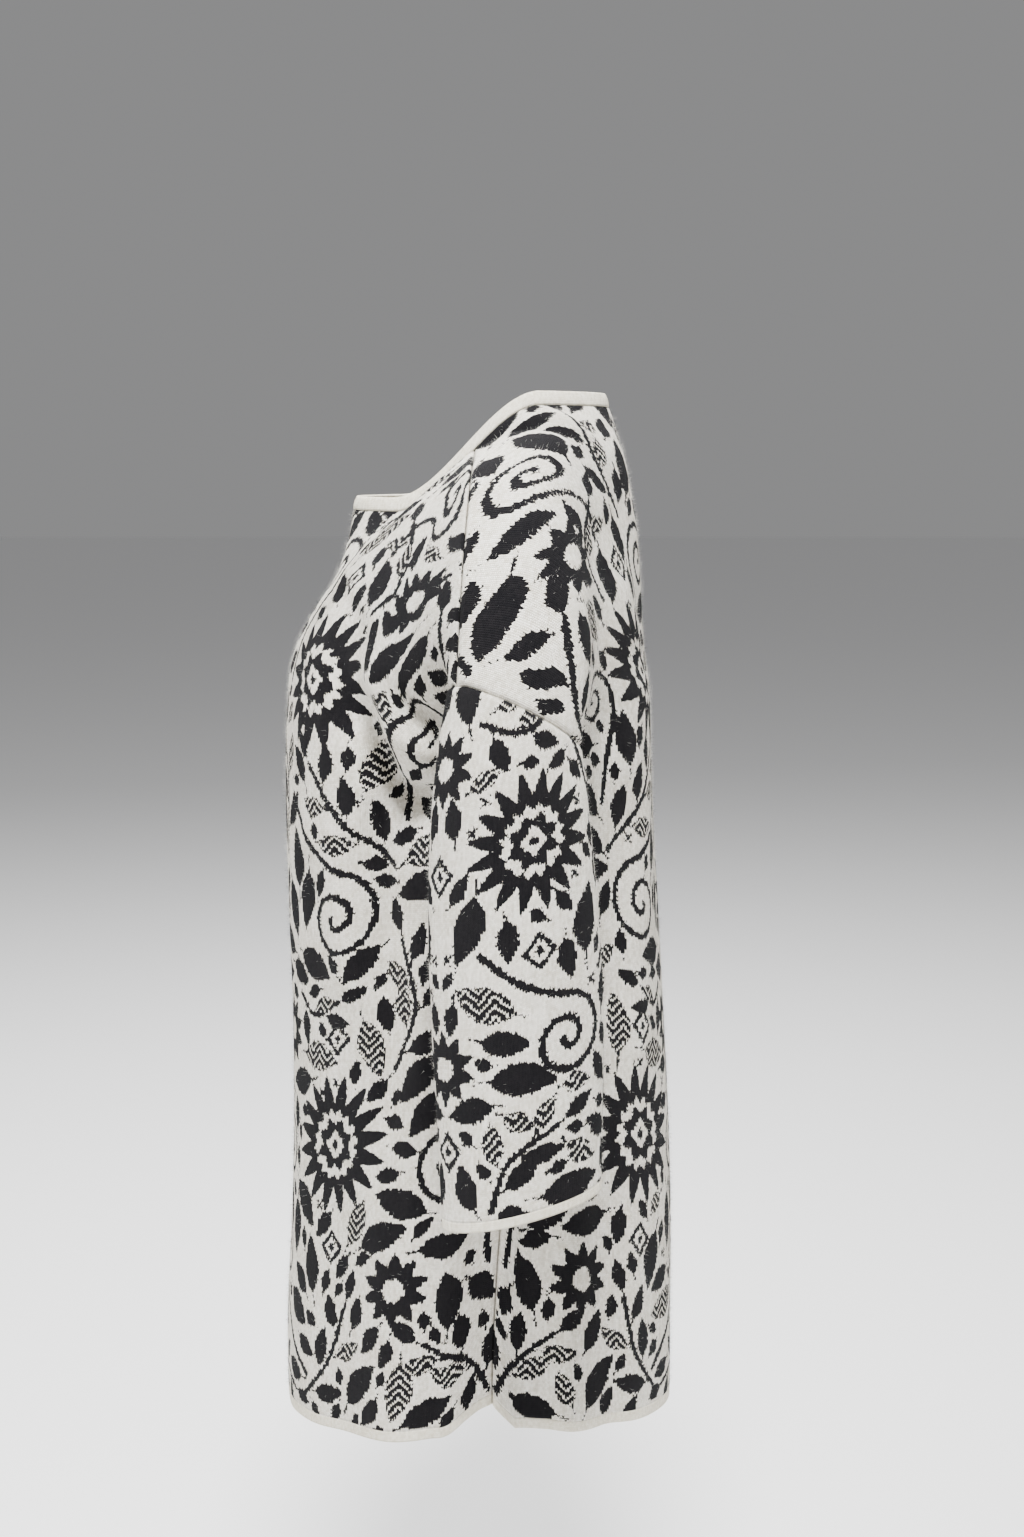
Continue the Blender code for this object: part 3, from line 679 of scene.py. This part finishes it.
def fillGaps(motifs, width, height, seed, spare):
    # leaves, then crosses, dropped wherever they still clear everything by a few millimetres
    random = np.random.default_rng(seed)
    cell, tries, loose = filling["cell"], filling["tries"], filling["looseDegrees"]
    up, across = np.meshgrid(np.arange(0, height, cell), np.arange(0, width, cell), indexing="ij")
    ink = inkAt(across, up, motifs)
    along = np.linspace(-0.5, 0.5, 11)
    profile = leafOutline(along + 0.5)
    (edgeA, edgeB), (swingA, swingB), (rateA, rateB) = (
        filling[name] for name in ("edge", "swingDegrees", "swingRate"))
    for length, leafWidth, gap in filling["sizes"]:
        a = random.uniform(edgeA, width - edgeA, tries)
        b = random.uniform(edgeB, height - edgeB, tries)
        swing = 90 + swingA * np.sin(a * rateA) + swingB * np.sin(b * rateB)
        heading = swing + random.uniform(-loose, loose, tries)
        angle = np.radians(heading + 180 * random.integers(0, 2, tries))
        c, s = np.cos(angle)[:, None], np.sin(angle)[:, None]
        x = np.tile(along, 3) * length / 1000
        y = np.concatenate([-profile, 0 * profile, profile]) * leafWidth / 1000
        pa, pb = a[:, None] + x * c - y * s, b[:, None] + x * s + y * c
        room = (pa.min(1) > gap / 2) & (pa.max(1) < width - gap / 2)
        room &= (pb.min(1) > 0.002) & (pb.max(1) < height)
        i = np.clip((pb / cell).astype(int), 0, ink.shape[0] - 1)
        j = np.clip((pa / cell).astype(int), 0, ink.shape[1] - 1)
        for k in np.flatnonzero(room & (ink[i, j].max(1) < -gap * spare)):
            if ink[i[k], j[k]].max() < -gap * spare:
                veined = length > filling["veinedOver"] and random.random() < filling["veinedShare"]
                mark = "veined" if veined else "black"
                bend = random.uniform(-filling["bend"], filling["bend"])
                values = (angle[k], length / 1000, leafWidth / 1000, bend)
                motifs.append((mark, leafShape, a[k], b[k], 0.55 * length / 1000, values))
                ink = np.maximum(ink, inkNear(across, up, motifs[-1], cell))
    edge = filling["crossEdge"]
    for a, b in random.uniform(edge, (width - edge, height - edge), (filling["crossTries"], 2)):
        if ink[int(b / cell), int(a / cell)] < -filling["crossRoom"]:
            motifs.append(cross(a * 1000, b * 1000, filling["crossLength"]))
            ink = np.maximum(ink, inkNear(across, up, motifs[-1], cell))
    return motifs


def inkNear(across, up, motif, cell):
    # one motif drawn on the layout grid, only where it reaches
    mark, shape, a, b, reach, values = motif
    ink = np.full(across.shape, drawing["nothing"])
    k = int((reach + drawing["margin"]) / cell) + 1
    i, j = int(b / cell), int(a / cell)
    part = (slice(max(i - k, 0), i + k), slice(max(j - k, 0), j + k))
    ink[part] = shape(across[part] - a, up[part] - b, *values)
    return ink


panelLayout = {
    # places in millimetres from the middle line and the hem, for half a panel this wide;
    # the height in metres, the seed, and how much more room than usual are for the gaps' filling
    "width": 314,
    "fill": (0.90, 11, 1.0),
    "flowers": ((150, 238, 60, 16), (130, 612, 58, 16), (0, 430, 60, 16), (314, 420, 48, 14)),
    "stars": ((64, 326, 31, 10), (226, 124, 31, 10), (0, 652, 31, 10), (222, 706, 29, 10)),
    "eyes": (
        (0, 62, 17), (0, 334, 15), (150, 152, 14), (152, 326, 14),
        (314, 300, 16), (130, 700, 14), (0, 540, 16), (314, 552, 15),
    ),
    "scrolls": (
        # middle, radius, way round, where the spiral ends, tail
        (46, 128, 33, 1, -90, ((84, 66), (124, 40))),
        (50, 222, 28, 1, 90, ((24, 262), (2, 290))),
        (268, 226, 32, 1, -90, ((296, 170), (306, 120))),
        (150, 424, 36, 1, 80, ((122, 482), (84, 522))),
        (56, 712, 31, -1, 0, ((80, 656), (66, 614))),
        (232, 582, 32, 1, 180, ((204, 530), (208, 498))),
        (190, 778, 27, -1, -90, ((166, 738), (160, 716))),
    ),
    "sprigs": (
        # stem, leaves, leaf length, leaf width, every how many leaves one is veined
        (((311, 14), (292, 50), (254, 78)), 4, 46, 18, 2),
        (((118, 20), (152, 54), (170, 104)), 4, 44, 17, 3),
        (((18, 20), (60, 30), (98, 22)), 3, 38, 15, 0),
        (((208, 300), (226, 350), (208, 404)), 5, 46, 18, 2),
        (((310, 380), (286, 352), (280, 306)), 3, 40, 16, 0),
        (((94, 360), (118, 344), (152, 356)), 3, 38, 15, 2),
        (((62, 474), (64, 534), (30, 594)), 5, 46, 18, 3),
        (((198, 462), (154, 502), (124, 546)), 5, 44, 17, 2),
        (((311, 490), (300, 606), (264, 676)), 5, 46, 18, 3),
        (((178, 664), (192, 694), (160, 744)), 4, 40, 16, 2),
        (((2, 692), (16, 750), (8, 806)), 4, 40, 16, 0),
        (((100, 742), (112, 790), (92, 836)), 4, 40, 16, 2),
        (((306, 700), (284, 760), (254, 820)), 5, 42, 17, 3),
    ),
}

sleeveLayout = {
    # one side of the sleeve, from its top line and from the cuff
    "width": 195,
    "fill": (0.42, 5, 1.3),
    "flowers": ((74, 268, 52, 16),),
    "stars": ((0, 332, 28, 10), (0, 118, 28, 10)),
    "eyes": ((0, 256, 14), (76, 190, 13), (0, 58, 14)),
    "scrolls": (
        (94, 124, 31, 1, 90, ((62, 170), (34, 196))),
        (150, 236, 27, 1, 90, ((138, 290), (116, 332))),
    ),
    "sprigs": (
        (((36, 14), (48, 44), (86, 64)), 4, 42, 16, 2),
        (((160, 12), (140, 60), (146, 120)), 5, 42, 16, 3),
        (((30, 360), (64, 346), (104, 360)), 4, 38, 15, 2),
        (((128, 164), (150, 184), (176, 180)), 3, 36, 14, 0),
    ),
}


def laidOut(layout, width):
    # the layout's motifs, with their places spread to this width, and the gaps filled
    wide = width * 1000 / layout["width"]
    made = []
    for kind, draw in (("flowers", flower), ("stars", star), ("eyes", eye)):
        for a, b, *values in layout[kind]:
            made += draw(a * wide, b, *values)
    for a, b, radius, hand, start, tail in layout["scrolls"]:
        made += scroll(a * wide, b, radius, hand, start, [(x * wide, y) for x, y in tail])
    for stem, leaves, length, leafWidth, veinsEvery in layout["sprigs"]:
        made += sprig([(x * wide, y) for x, y in stem], leaves, length, leafWidth, veinsEvery)
    return fillGaps(made, width, *layout["fill"])


def inkAttribute(across, up, motifs):
    # ink, and how fast it grows across and up, so that a whole stitch can take one colour;
    # last, how far inside a veined leaf a place lies
    ink = inkAt(np.abs(across), up, motifs)
    sideways = np.gradient(ink, axis=1) / np.gradient(across, axis=1)
    upwards = np.gradient(ink, axis=0) / np.gradient(up, axis=0)
    veined = inkAt(np.abs(across), up, [motif for motif in motifs if motif[0] == "veined"])
    return np.stack([ink, np.clip(sideways, -1, 1), np.clip(upwards, -1, 1), veined], axis=-1)


def cornersOf(index):
    return np.stack([index[:-1, :-1], index[:-1, 1:], index[1:, 1:], index[1:, :-1]], axis=-1).reshape(-1, 4)


def rimTriangles(fine, coarse):
    # joins the fine outer edge to the coarse inner edge
    step = cloth["innerStep"]
    near = (np.arange(len(fine) - 1) + step - step // 2) // step
    toFine = np.stack([fine[1:], fine[:-1], coarse[near]], axis=1)
    middle = np.arange(len(coarse) - 1) * step + step // 2
    return np.concatenate([toFine, np.stack([coarse[:-1], coarse[1:], fine[middle]], axis=1)])


def shellFaces(outer, inner, closed):
    rims = [rimTriangles(outer[0], inner[0]), rimTriangles(outer[-1, ::-1], inner[-1, ::-1])]
    if not closed:
        rims += [rimTriangles(outer[:, -1], inner[:, -1]), rimTriangles(outer[::-1, 0], inner[::-1, 0])]
    return cornersOf(outer), cornersOf(inner)[:, ::-1], np.concatenate(rims)


def numbered(rows, columns, closed):
    # point numbers of a grid, whose last column is its first again where it closes
    number = np.arange(rows * (columns - closed)).reshape(rows, columns - closed)
    return np.concatenate([number, number[:, :1]], axis=1) if closed else number


def setMesh(name, points, faces, materialNumbers):
    mesh = bpy.data.meshes.new(name)
    sizes = np.concatenate([np.full(len(f), f.shape[1]) for f in faces])
    corners = np.concatenate([f.ravel() for f in faces])
    mesh.vertices.add(len(points))
    mesh.vertices.foreach_set("co", points.astype(np.float32).ravel())
    mesh.loops.add(len(corners))
    mesh.loops.foreach_set("vertex_index", corners.astype(np.int32))
    mesh.polygons.add(len(sizes))
    mesh.polygons.foreach_set("loop_start", (np.cumsum(sizes) - sizes).astype(np.int32))
    numbers = np.concatenate([np.full(len(f), k) for f, k in zip(faces, materialNumbers)])
    mesh.update(calc_edges=True)
    mesh.polygons.foreach_set("material_index", numbers.astype(np.int32))
    mesh.shade_smooth()
    return mesh


def knitPiece(name, node, surface, closed):
    # a wall of cloth: the fine outer surface, and a coarser inner one a thickness behind it;
    # patterned where it has ink, and plain otherwise
    grid, across, up, ink = surface
    step = cloth["innerStep"]
    inner = (grid - gridNormals(grid, closed) * cloth["thickness"])[::step, ::step]
    outerNumber = numbered(*grid.shape[:2], closed)
    innerNumber = numbered(*inner.shape[:2], closed)
    last = -1 if closed else None
    points = np.concatenate([grid[:, :last].reshape(-1, 3), inner[:, :last].reshape(-1, 3)])
    faces = shellFaces(outerNumber, innerNumber + outerNumber.max() + 1, closed)
    mesh = setMesh(name, points, faces, (0, 1, 0 if ink is None else 1))
    # corner values come from the grid before it was closed, so they don't jump at its seam
    place = np.arange(across.size).reshape(across.shape)
    corners = np.concatenate([f.ravel() for f in shellFaces(place, place[::step, ::step], closed)])
    coordinates = np.stack([across, up], axis=-1).reshape(-1, 2)[corners]
    mesh.uv_layers.new(name="clothPlace").data.foreach_set("uv", coordinates.astype(np.float32).ravel())
    if ink is not None:
        field = mesh.attributes.new("ink", "FLOAT_VECTOR", "CORNER")
        values = ink.reshape(-1, 4)[corners].astype(np.float32)
        field.data.foreach_set("vector", values[:, :3].ravel())
        mesh.attributes.new("veined", "FLOAT", "CORNER").data.foreach_set("value", values[:, 3].copy())
    for material in (bandKnit, beigeKnit) if ink is None else (motifKnit, reverseKnit):
        mesh.materials.append(material)
    return placed(name, mesh, node)


def linked(name, data):
    made = bpy.data.objects.new(name, data)
    bpy.context.scene.collection.objects.link(made)
    return made


def placed(name, mesh, node):
    piece = linked(name, mesh)
    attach(piece, "root")
    if node:
        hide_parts(node)
    return piece


hair = {
    "perSquareMetre": 98000,
    "length": (0.0014, 0.0052),
    "halfWidth": 0.000055,
    "rootDepth": 0.0003,
    "lean": 1.4,
    "darkShare": 0.94,        # of the fibres on black stitches
    "black": (0.014, 0.014, 0.016, 1),
    "noiseScale": 400.0,
    "darkest": 0.7,
    "shader": {"Roughness": 0.8, "Specular IOR Level": 0.1},
}


def woolHair(name, surface, seed):
    # loose fibres: straight three-sided spikes, rooted just under the outer surface
    grid, _, _, ink = surface
    random = np.random.default_rng(seed)
    areas = np.linalg.norm(np.cross(
        grid[1:, :-1] - grid[:-1, :-1], grid[:-1, 1:] - grid[:-1, :-1]), axis=-1).ravel()
    count = int(areas.sum() * hair["perSquareMetre"])
    cell = random.choice(areas.size, count, p=areas / areas.sum())
    i, j = np.divmod(cell, grid.shape[1] - 1)
    s, t = random.random((2, count, 1))
    low = grid[i, j] * (1 - s) + grid[i, j + 1] * s
    high = grid[i + 1, j] * (1 - s) + grid[i + 1, j + 1] * s
    root = low * (1 - t) + high * t
    normal = gridNormals(grid)[i, j]
    lean = unit(np.cross(normal, random.normal(size=(count, 3))))
    heading = unit(normal + lean * hair["lean"] * random.random((count, 1)))
    tip = root + heading * random.uniform(*hair["length"], (count, 1))
    side = np.cross(normal, lean)
    foot = root - normal * hair["rootDepth"]
    ring = [foot + (lean * math.cos(a) + side * math.sin(a)) * hair["halfWidth"]
            for a in (0, 2 * math.pi / 3, 4 * math.pi / 3)]
    points = np.stack([*ring, tip], axis=1).reshape(-1, 3)
    spike = np.array([[0, 1, 3], [1, 2, 3], [2, 0, 3], [2, 1, 0]])
    first = np.arange(count)[:, None, None] * 4
    dark = (ink[i, j, 0] > 0) & (random.random(count) < hair["darkShare"])
    faces = [(spike + first[kind]).reshape(-1, 3) for kind in (~dark, dark)]
    mesh = setMesh(name, points, faces, (0, 1))
    for material in hairs:
        mesh.materials.append(material)
    return placed(name, mesh, None)


def addNode(tree, kind, settings=None, inputs=None):
    made = tree.nodes.new(kind)
    for name, value in (settings or {}).items():
        setattr(made, name, value)
    for key, value in (inputs or {}).items():
        if isinstance(value, bpy.types.NodeSocket):
            tree.links.new(value, made.inputs[key])
        else:
            made.inputs[key].default_value = value
    return made


def maths(tree, operation, *values):
    return addNode(tree, "ShaderNodeMath", {"operation": operation}, dict(enumerate(values))).outputs[0]


def mathsFor(tree, *operations):
    # a function for each kind of Math node, which puts the node in this tree
    return [partial(maths, tree, operation) for operation in operations]


def partsOf(tree, vector):
    return addNode(tree, "ShaderNodeSeparateXYZ", None, {0: vector}).outputs


def mixed(tree, factor, first, second):
    inputs = {0: factor, 6: first, 7: second}
    return addNode(tree, "ShaderNodeMix", {"data_type": "RGBA"}, inputs).outputs[2]


def newGroup(name, inputs, outputs):
    tree = bpy.data.node_groups.new(name, "ShaderNodeTree")
    for label, kind in inputs:
        tree.interface.new_socket(label, in_out="INPUT", socket_type="NodeSocket" + kind)
    for label, kind in outputs:
        tree.interface.new_socket(label, in_out="OUTPUT", socket_type="NodeSocket" + kind)
    return tree, tree.nodes.new("NodeGroupInput").outputs, tree.nodes.new("NodeGroupOutput").inputs


knit = {
    "waleWidth": 0.00195,
    "courseHeight": 0.00155,
    "bumpHeight": 0.00065,
    "raggedness": 0.0017,
    "veinSpacing": 0.0072,
    "veinZigzag": 1.5,
    "veinShare": 0.26,
    "veinEdge": 0.0008,
    "rowSlope": 0.8,
    "centreUp": 0.9,          # of a course, above the V's lowest point
    "legPower": 0.7,
    "yarnPower": 0.6,
    # painted shade: the light yarns are darkened between the stitches, where shade would fall
    "paintedHollowShade": 0.75,          # how much darker it is between the stitches
    "blackHollows": 0.6,
    "bumpStrength": 0.85,
    "cream": (0.92, 0.89, 0.82, 1),
    # each ...Shade colour is the darker one that random patches and stitches lean to; for the light yarns it
    # is also the painted shade between stitches
    "creamShade": (0.50, 0.455, 0.36, 1),
    "black": (0.004, 0.004, 0.005, 1),
    "blackShade": (0.011, 0.010, 0.011, 1),
    "ecru": (0.95, 0.91, 0.79, 1),
    "ecruShade": (0.62, 0.56, 0.42, 1),
    "beige": (0.54, 0.49, 0.37, 1),
    "beigeShade": (0.30, 0.26, 0.18, 1),
    "shader": {"Specular IOR Level": 0.06, "Sheen Weight": 0.02, "Sheen Roughness": 0.5},
}


def stitchGroup():
    # V-shaped stitches: rows slope up from each wale's middle, so a row is up / course - slope * |t|;
    # the height is sin(pi |t|)^legPower times sin(pi row)^yarnPower
    tree, given, result = newGroup(
        "knitStitches",
        [("clothPlace", "Vector"), ("waleWidth", "Float"), ("courseHeight", "Float")],
        [("height", "Float"), ("toCentre", "Vector"), ("tone", "Float"), ("parity", "Float")],
    )
    add, subtract, multiply, divide, floor, fract, sine, power = mathsFor(
        tree, "ADD", "SUBTRACT", "MULTIPLY", "DIVIDE", "FLOOR", "FRACT", "SINE", "POWER")
    place = partsOf(tree, given["clothPlace"])
    x = divide(place["X"], given["waleWidth"])
    y = divide(place["Y"], given["courseHeight"])
    wale = floor(x)
    t = multiply(maths(tree, "ABSOLUTE", subtract(fract(x), 0.5)), 2.0)
    row = subtract(y, multiply(t, knit["rowSlope"]))
    course = floor(row)
    leg = power(maths(tree, "MAXIMUM", sine(multiply(t, math.pi)), 0.001), knit["legPower"])
    yarn = power(sine(multiply(fract(row), math.pi)), knit["yarnPower"])
    tree.links.new(multiply(leg, yarn), result["height"])
    middleX = multiply(add(wale, 0.5), given["waleWidth"])
    middleY = multiply(add(course, knit["centreUp"]), given["courseHeight"])
    toCentre = addNode(tree, "ShaderNodeCombineXYZ", None, {
        0: subtract(middleX, place["X"]), 1: subtract(middleY, place["Y"])})
    tree.links.new(toCentre.outputs[0], result["toCentre"])
    stitch = addNode(tree, "ShaderNodeCombineXYZ", None, {0: wale, 1: course}).outputs[0]
    noise = addNode(tree, "ShaderNodeTexWhiteNoise", {"noise_dimensions": "2D"}, {"Vector": stitch})
    tree.links.new(noise.outputs["Value"], result["tone"])
    tree.links.new(maths(tree, "FLOORED_MODULO", add(wale, course), 2.0), result["parity"])
    return tree


def inkGroup():
    # ink at the stitch's centre = ink here + its slope times the way to the centre; black above 0.
    # In a veined leaf, zigzag rows of cream stitches: (up + |zigzag|) / spacing, its first share
    tree, given, result = newGroup(
        "stitchInk",
        [("clothPlace", "Vector"), ("ink", "Vector"), ("veined", "Float"), ("toCentre", "Vector"),
         ("tone", "Float"), ("raggedness", "Float"), ("veinSpacing", "Float")],
        [("mask", "Float")],
    )
    add, subtract, multiply, divide, greater = mathsFor(
        tree, "ADD", "SUBTRACT", "MULTIPLY", "DIVIDE", "GREATER_THAN")
    ink, way, place = (partsOf(tree, given[label]) for label in ("ink", "toCentre", "clothPlace"))
    total = add(ink["X"], multiply(ink["Y"], way["X"]))
    total = add(total, multiply(ink["Z"], way["Y"]))
    uneven = multiply(subtract(given["tone"], 0.5), given["raggedness"])
    black = greater(add(total, uneven), 0.0)
    x, y = (divide(add(place[axis], way[axis]), given["veinSpacing"]) for axis in "XY")
    zigzag = maths(tree, "PINGPONG", x, knit["veinZigzag"])
    stripe = maths(tree, "LESS_THAN", maths(tree, "FRACT", add(y, zigzag)), knit["veinShare"])
    cream = multiply(stripe, greater(given["veined"], knit["veinEdge"]))
    tree.links.new(multiply(black, subtract(1.0, cream)), result["mask"])
    return tree


wool = {
    "noise": {"patches": (22.0, 3.0), "fibres": (1400.0, 2.0), "streaks": (420.0, 3.0)},   # scale, detail
    "streakStretch": (1, 1, 0.22),
    "amount": {"patches": 0.50, "tone": 0.45, "fibres": 0.35, "streaks": 0.90},
    "offset": 0.94,
    "roughness": (0.82, 0.16),      # and how much the fibres add
}


def yarnGroup():
    # colour of wool: lighter and darker patches, stitches unlike each other, and painted shade between
    # stitches (on black yarn this mix lightens it instead, as cream shows through)
    tree, given, result = newGroup(
        "woolYarn",
        [("colour", "Color"), ("shade", "Color"), ("height", "Float"), ("tone", "Float"), ("depth", "Float")],
        [("colour", "Color"), ("roughness", "Float")],
    )
    add, subtract, multiply = mathsFor(tree, "ADD", "SUBTRACT", "MULTIPLY")
    place = addNode(tree, "ShaderNodeTexCoord").outputs["Object"]
    upright = addNode(tree, "ShaderNodeMapping", None, {"Vector": place, "Scale": wool["streakStretch"]})
    effect = {"tone": given["tone"]}
    for name, (scale, detail) in wool["noise"].items():
        where = upright.outputs[0] if name == "streaks" else place
        noise = addNode(tree, "ShaderNodeTexNoise", None, {"Vector": where, "Scale": scale, "Detail": detail})
        effect[name] = noise.outputs[0]
    amount = reduce(add, [multiply(effect[name], share) for name, share in wool["amount"].items()])
    # between the stitches: painted shade for the light yarns; the black yarn lightens here, as cream shows
    # through
    hollow = multiply(subtract(1.0, given["height"]), given["depth"])
    amount = add(subtract(amount, wool["offset"]), hollow)
    limited = addNode(tree, "ShaderNodeClamp", None, {"Value": amount}).outputs[0]
    tree.links.new(mixed(tree, limited, given["colour"], given["shade"]), result["colour"])
    smoothest, span = wool["roughness"]
    tree.links.new(add(smoothest, multiply(effect["fibres"], span)), result["roughness"])
    return tree


def newMaterial(name, values):
    material = bpy.data.materials.new(name)
    material.use_nodes = True
    shader = material.node_tree.nodes["Principled BSDF"]
    for label, value in values.items():
        shader.inputs[label].default_value = value
    return material, material.node_tree, shader


def knitMaterial(name, kind):
    # kind is "motif" for black on cream, "reverse" for its flecked inside, "band" or "beige"
    material, tree, shader = newMaterial(name, knit["shader"])

    def group(key, inputs):
        return addNode(tree, "ShaderNodeGroup", {"node_tree": groups[key]}, inputs).outputs

    def yarn(main, depth):
        return group("yarn", {
            "colour": knit[main], "shade": knit[main + "Shade"], "height": stitches["height"],
            "tone": stitches["tone"], "depth": depth})

    place = addNode(tree, "ShaderNodeUVMap", {"uv_map": "clothPlace"}).outputs[0]
    stitches = group("stitch", {
        "clothPlace": place, "waleWidth": knit["waleWidth"], "courseHeight": knit["courseHeight"]})
    # the base yarn carries the painted shade between the stitches
    base = yarn({"beige": "beige", "band": "ecru"}.get(kind, "cream"), knit["paintedHollowShade"])
    colour, mask = base["colour"], stitches["parity"]
    if kind == "motif":
        ink = addNode(tree, "ShaderNodeAttribute", {"attribute_name": "ink"}).outputs["Vector"]
        veined = addNode(tree, "ShaderNodeAttribute", {"attribute_name": "veined"}).outputs["Fac"]
        mask = group("ink", {
            "clothPlace": place, "ink": ink, "veined": veined, "toCentre": stitches["toCentre"],
            "tone": stitches["tone"], "raggedness": knit["raggedness"],
            "veinSpacing": knit["veinSpacing"]})["mask"]
    if kind in ("motif", "reverse"):
        colour = mixed(tree, mask, colour, yarn("black", knit["blackHollows"])["colour"])
    tree.links.new(colour, shader.inputs["Base Color"])
    tree.links.new(base["roughness"], shader.inputs["Roughness"])
    bump = addNode(tree, "ShaderNodeBump", None, {
        "Strength": knit["bumpStrength"], "Distance": knit["bumpHeight"], "Height": stitches["height"]})
    tree.links.new(bump.outputs[0], shader.inputs["Normal"])
    return material


def hairMaterial(name, colour):
    material, tree, shader = newMaterial(name, hair["shader"])
    place = addNode(tree, "ShaderNodeTexCoord").outputs["Object"]
    noise = addNode(tree, "ShaderNodeTexNoise", None, {"Vector": place, "Scale": hair["noiseScale"]})
    darker = tuple(c * hair["darkest"] for c in colour[:3]) + (1,)
    tree.links.new(mixed(tree, noise.outputs[0], colour, darker), shader.inputs["Base Color"])
    return material


groups = {"stitch": stitchGroup(), "ink": inkGroup(), "yarn": yarnGroup()}
motifKnit, reverseKnit, bandKnit, beigeKnit = (
    knitMaterial(kind + "Knit", kind) for kind in ("motif", "reverse", "band", "beige"))
hairs = [hairMaterial("creamHair", knit["cream"]), hairMaterial("blackHair", hair["black"])]
print("materials made")


def mirroredPiece(surface):
    grid, across, up, ink = surface
    return grid[:, ::-1] * [-1, 1, 1], -across[:, ::-1], up[:, ::-1], ink[:, ::-1] * [1, -1, 1, 1]


def bandedPiece(names, nodes, surface, rows, closed, hairSeed):
    # a patterned piece with its loose fibres, and the plain band of its lowest rows
    pattern = tuple(part[rows:] for part in surface)
    plain = (*(part[:rows + 1] for part in surface[:3]), None)
    piece = knitPiece(names[0], nodes[0], pattern, closed)
    band = knitPiece(names[1], nodes[1], plain, closed)
    halo = woolHair(names[2], pattern, hairSeed)


for panel, seed in (("front", 3), ("back", 4)):
    grid, across, up = panelSurface(panel, seed)
    half = float(across[0].max())
    motifs = laidOut(panelLayout, half)
    ink = inkAttribute(across, up, motifs)
    names = (panel + "Panel", panel + "HemBand", panel + "Hair")
    nodes = (panel, "hem_band_" + panel)
    bandedPiece(names, nodes, (grid, across, up, ink), body["bandRows"], False, seed)
    print(panel, "made:", len(motifs), "motifs, half width", round(half, 3),
          "length at the middle", round(float(up[-1, up.shape[1] // 2]), 3),
          "black share", round(float((ink[..., 0] > 0).mean()), 3))

grid, across, up = sleeveSurface(7)
motifs = laidOut(sleeveLayout, float(across[0].max()))
ink = inkAttribute(across, up, motifs)
left = (grid, across, up, ink)
for side, surface in (("left", left), ("right", mirroredPiece(left))):
    names = (side + "Sleeve", side + "CuffBand", side + "SleeveHair")
    nodes = ("sleeve_" + side, "cuff_band_" + side)
    bandedPiece(names, nodes, surface, sleeve["cuffRows"], True, 8)
print("sleeves made:", len(motifs), "motifs, black share", round(float((ink[..., 0] > 0).mean()), 3))

neckBand = knitPiece("neckBand", "neckband", (*neckSurface(), None), True)
print("neckband made")

studio = {
    "floorHeight": -1.30,
    "floorSize": 60.0,
    "floor": {"Base Color": (0.94, 0.94, 0.94, 1), "Roughness": 0.9},
    "world": {"Color": (0.90, 0.90, 0.91, 1), "Strength": 0.30},
    "aim": (0.0, 0.0, -0.40),
    "lights": (
        # name, place, watts, width
        ("keyLight", (1.4, 0.0, 2.3), 295, 0.7),
        ("frontLight", (1.5, -2.7, 0.6), 92, 1.6),
        ("backLight", (2.2, 2.4, 0.2), 50, 1.8),
        ("farLight", (-1.8, -0.3, 2.0), 170, 1.4),
    ),
}

view = {
    # found from the photo, which is this many pixels high
    "place": (1.60, 0.027, -0.026),
    "downDegrees": 9.1,
    "focalPixels": 1940,
    "photoHeight": 1537,
    "sensor": 36,
}

floorPoints = np.array([(-1, -1, 0), (1, -1, 0), (1, 1, 0), (-1, 1, 0)]) * studio["floorSize"] / 2
floorPoints[:, 2] = studio["floorHeight"]
floorMesh = setMesh("studioFloor", floorPoints, [np.array([[0, 1, 2, 3]])], [0])
floorMesh.materials.append(newMaterial("paleFloor", studio["floor"])[0])
linked("studioFloor", floorMesh)

world = bpy.data.worlds.new("paleStudio")
world.use_nodes = True
for label, value in studio["world"].items():
    world.node_tree.nodes["Background"].inputs[label].default_value = value
bpy.context.scene.world = world

for name, lightPlace, watts, width in studio["lights"]:
    light = bpy.data.lights.new(name, "AREA")
    light.shape = "DISK"
    light.size = width
    light.energy = watts
    lamp = linked(name, light)
    lamp.location = lightPlace
    aim = np.array(studio["aim"]) - np.array(lightPlace)
    lamp.rotation_euler = (
        math.acos(-aim[2] / np.linalg.norm(aim)), 0, math.atan2(aim[1], aim[0]) - math.pi / 2)

camera = bpy.data.cameras.new("photoCamera")
camera.sensor_fit = "AUTO"
camera.sensor_width = view["sensor"]
camera.lens = view["focalPixels"] / view["photoHeight"] * view["sensor"]
viewer = linked("photoCamera", camera)
viewer.location = view["place"]
viewer.rotation_euler = (math.radians(90 - view["downDegrees"]), 0, math.radians(90))
bpy.context.scene.camera = viewer
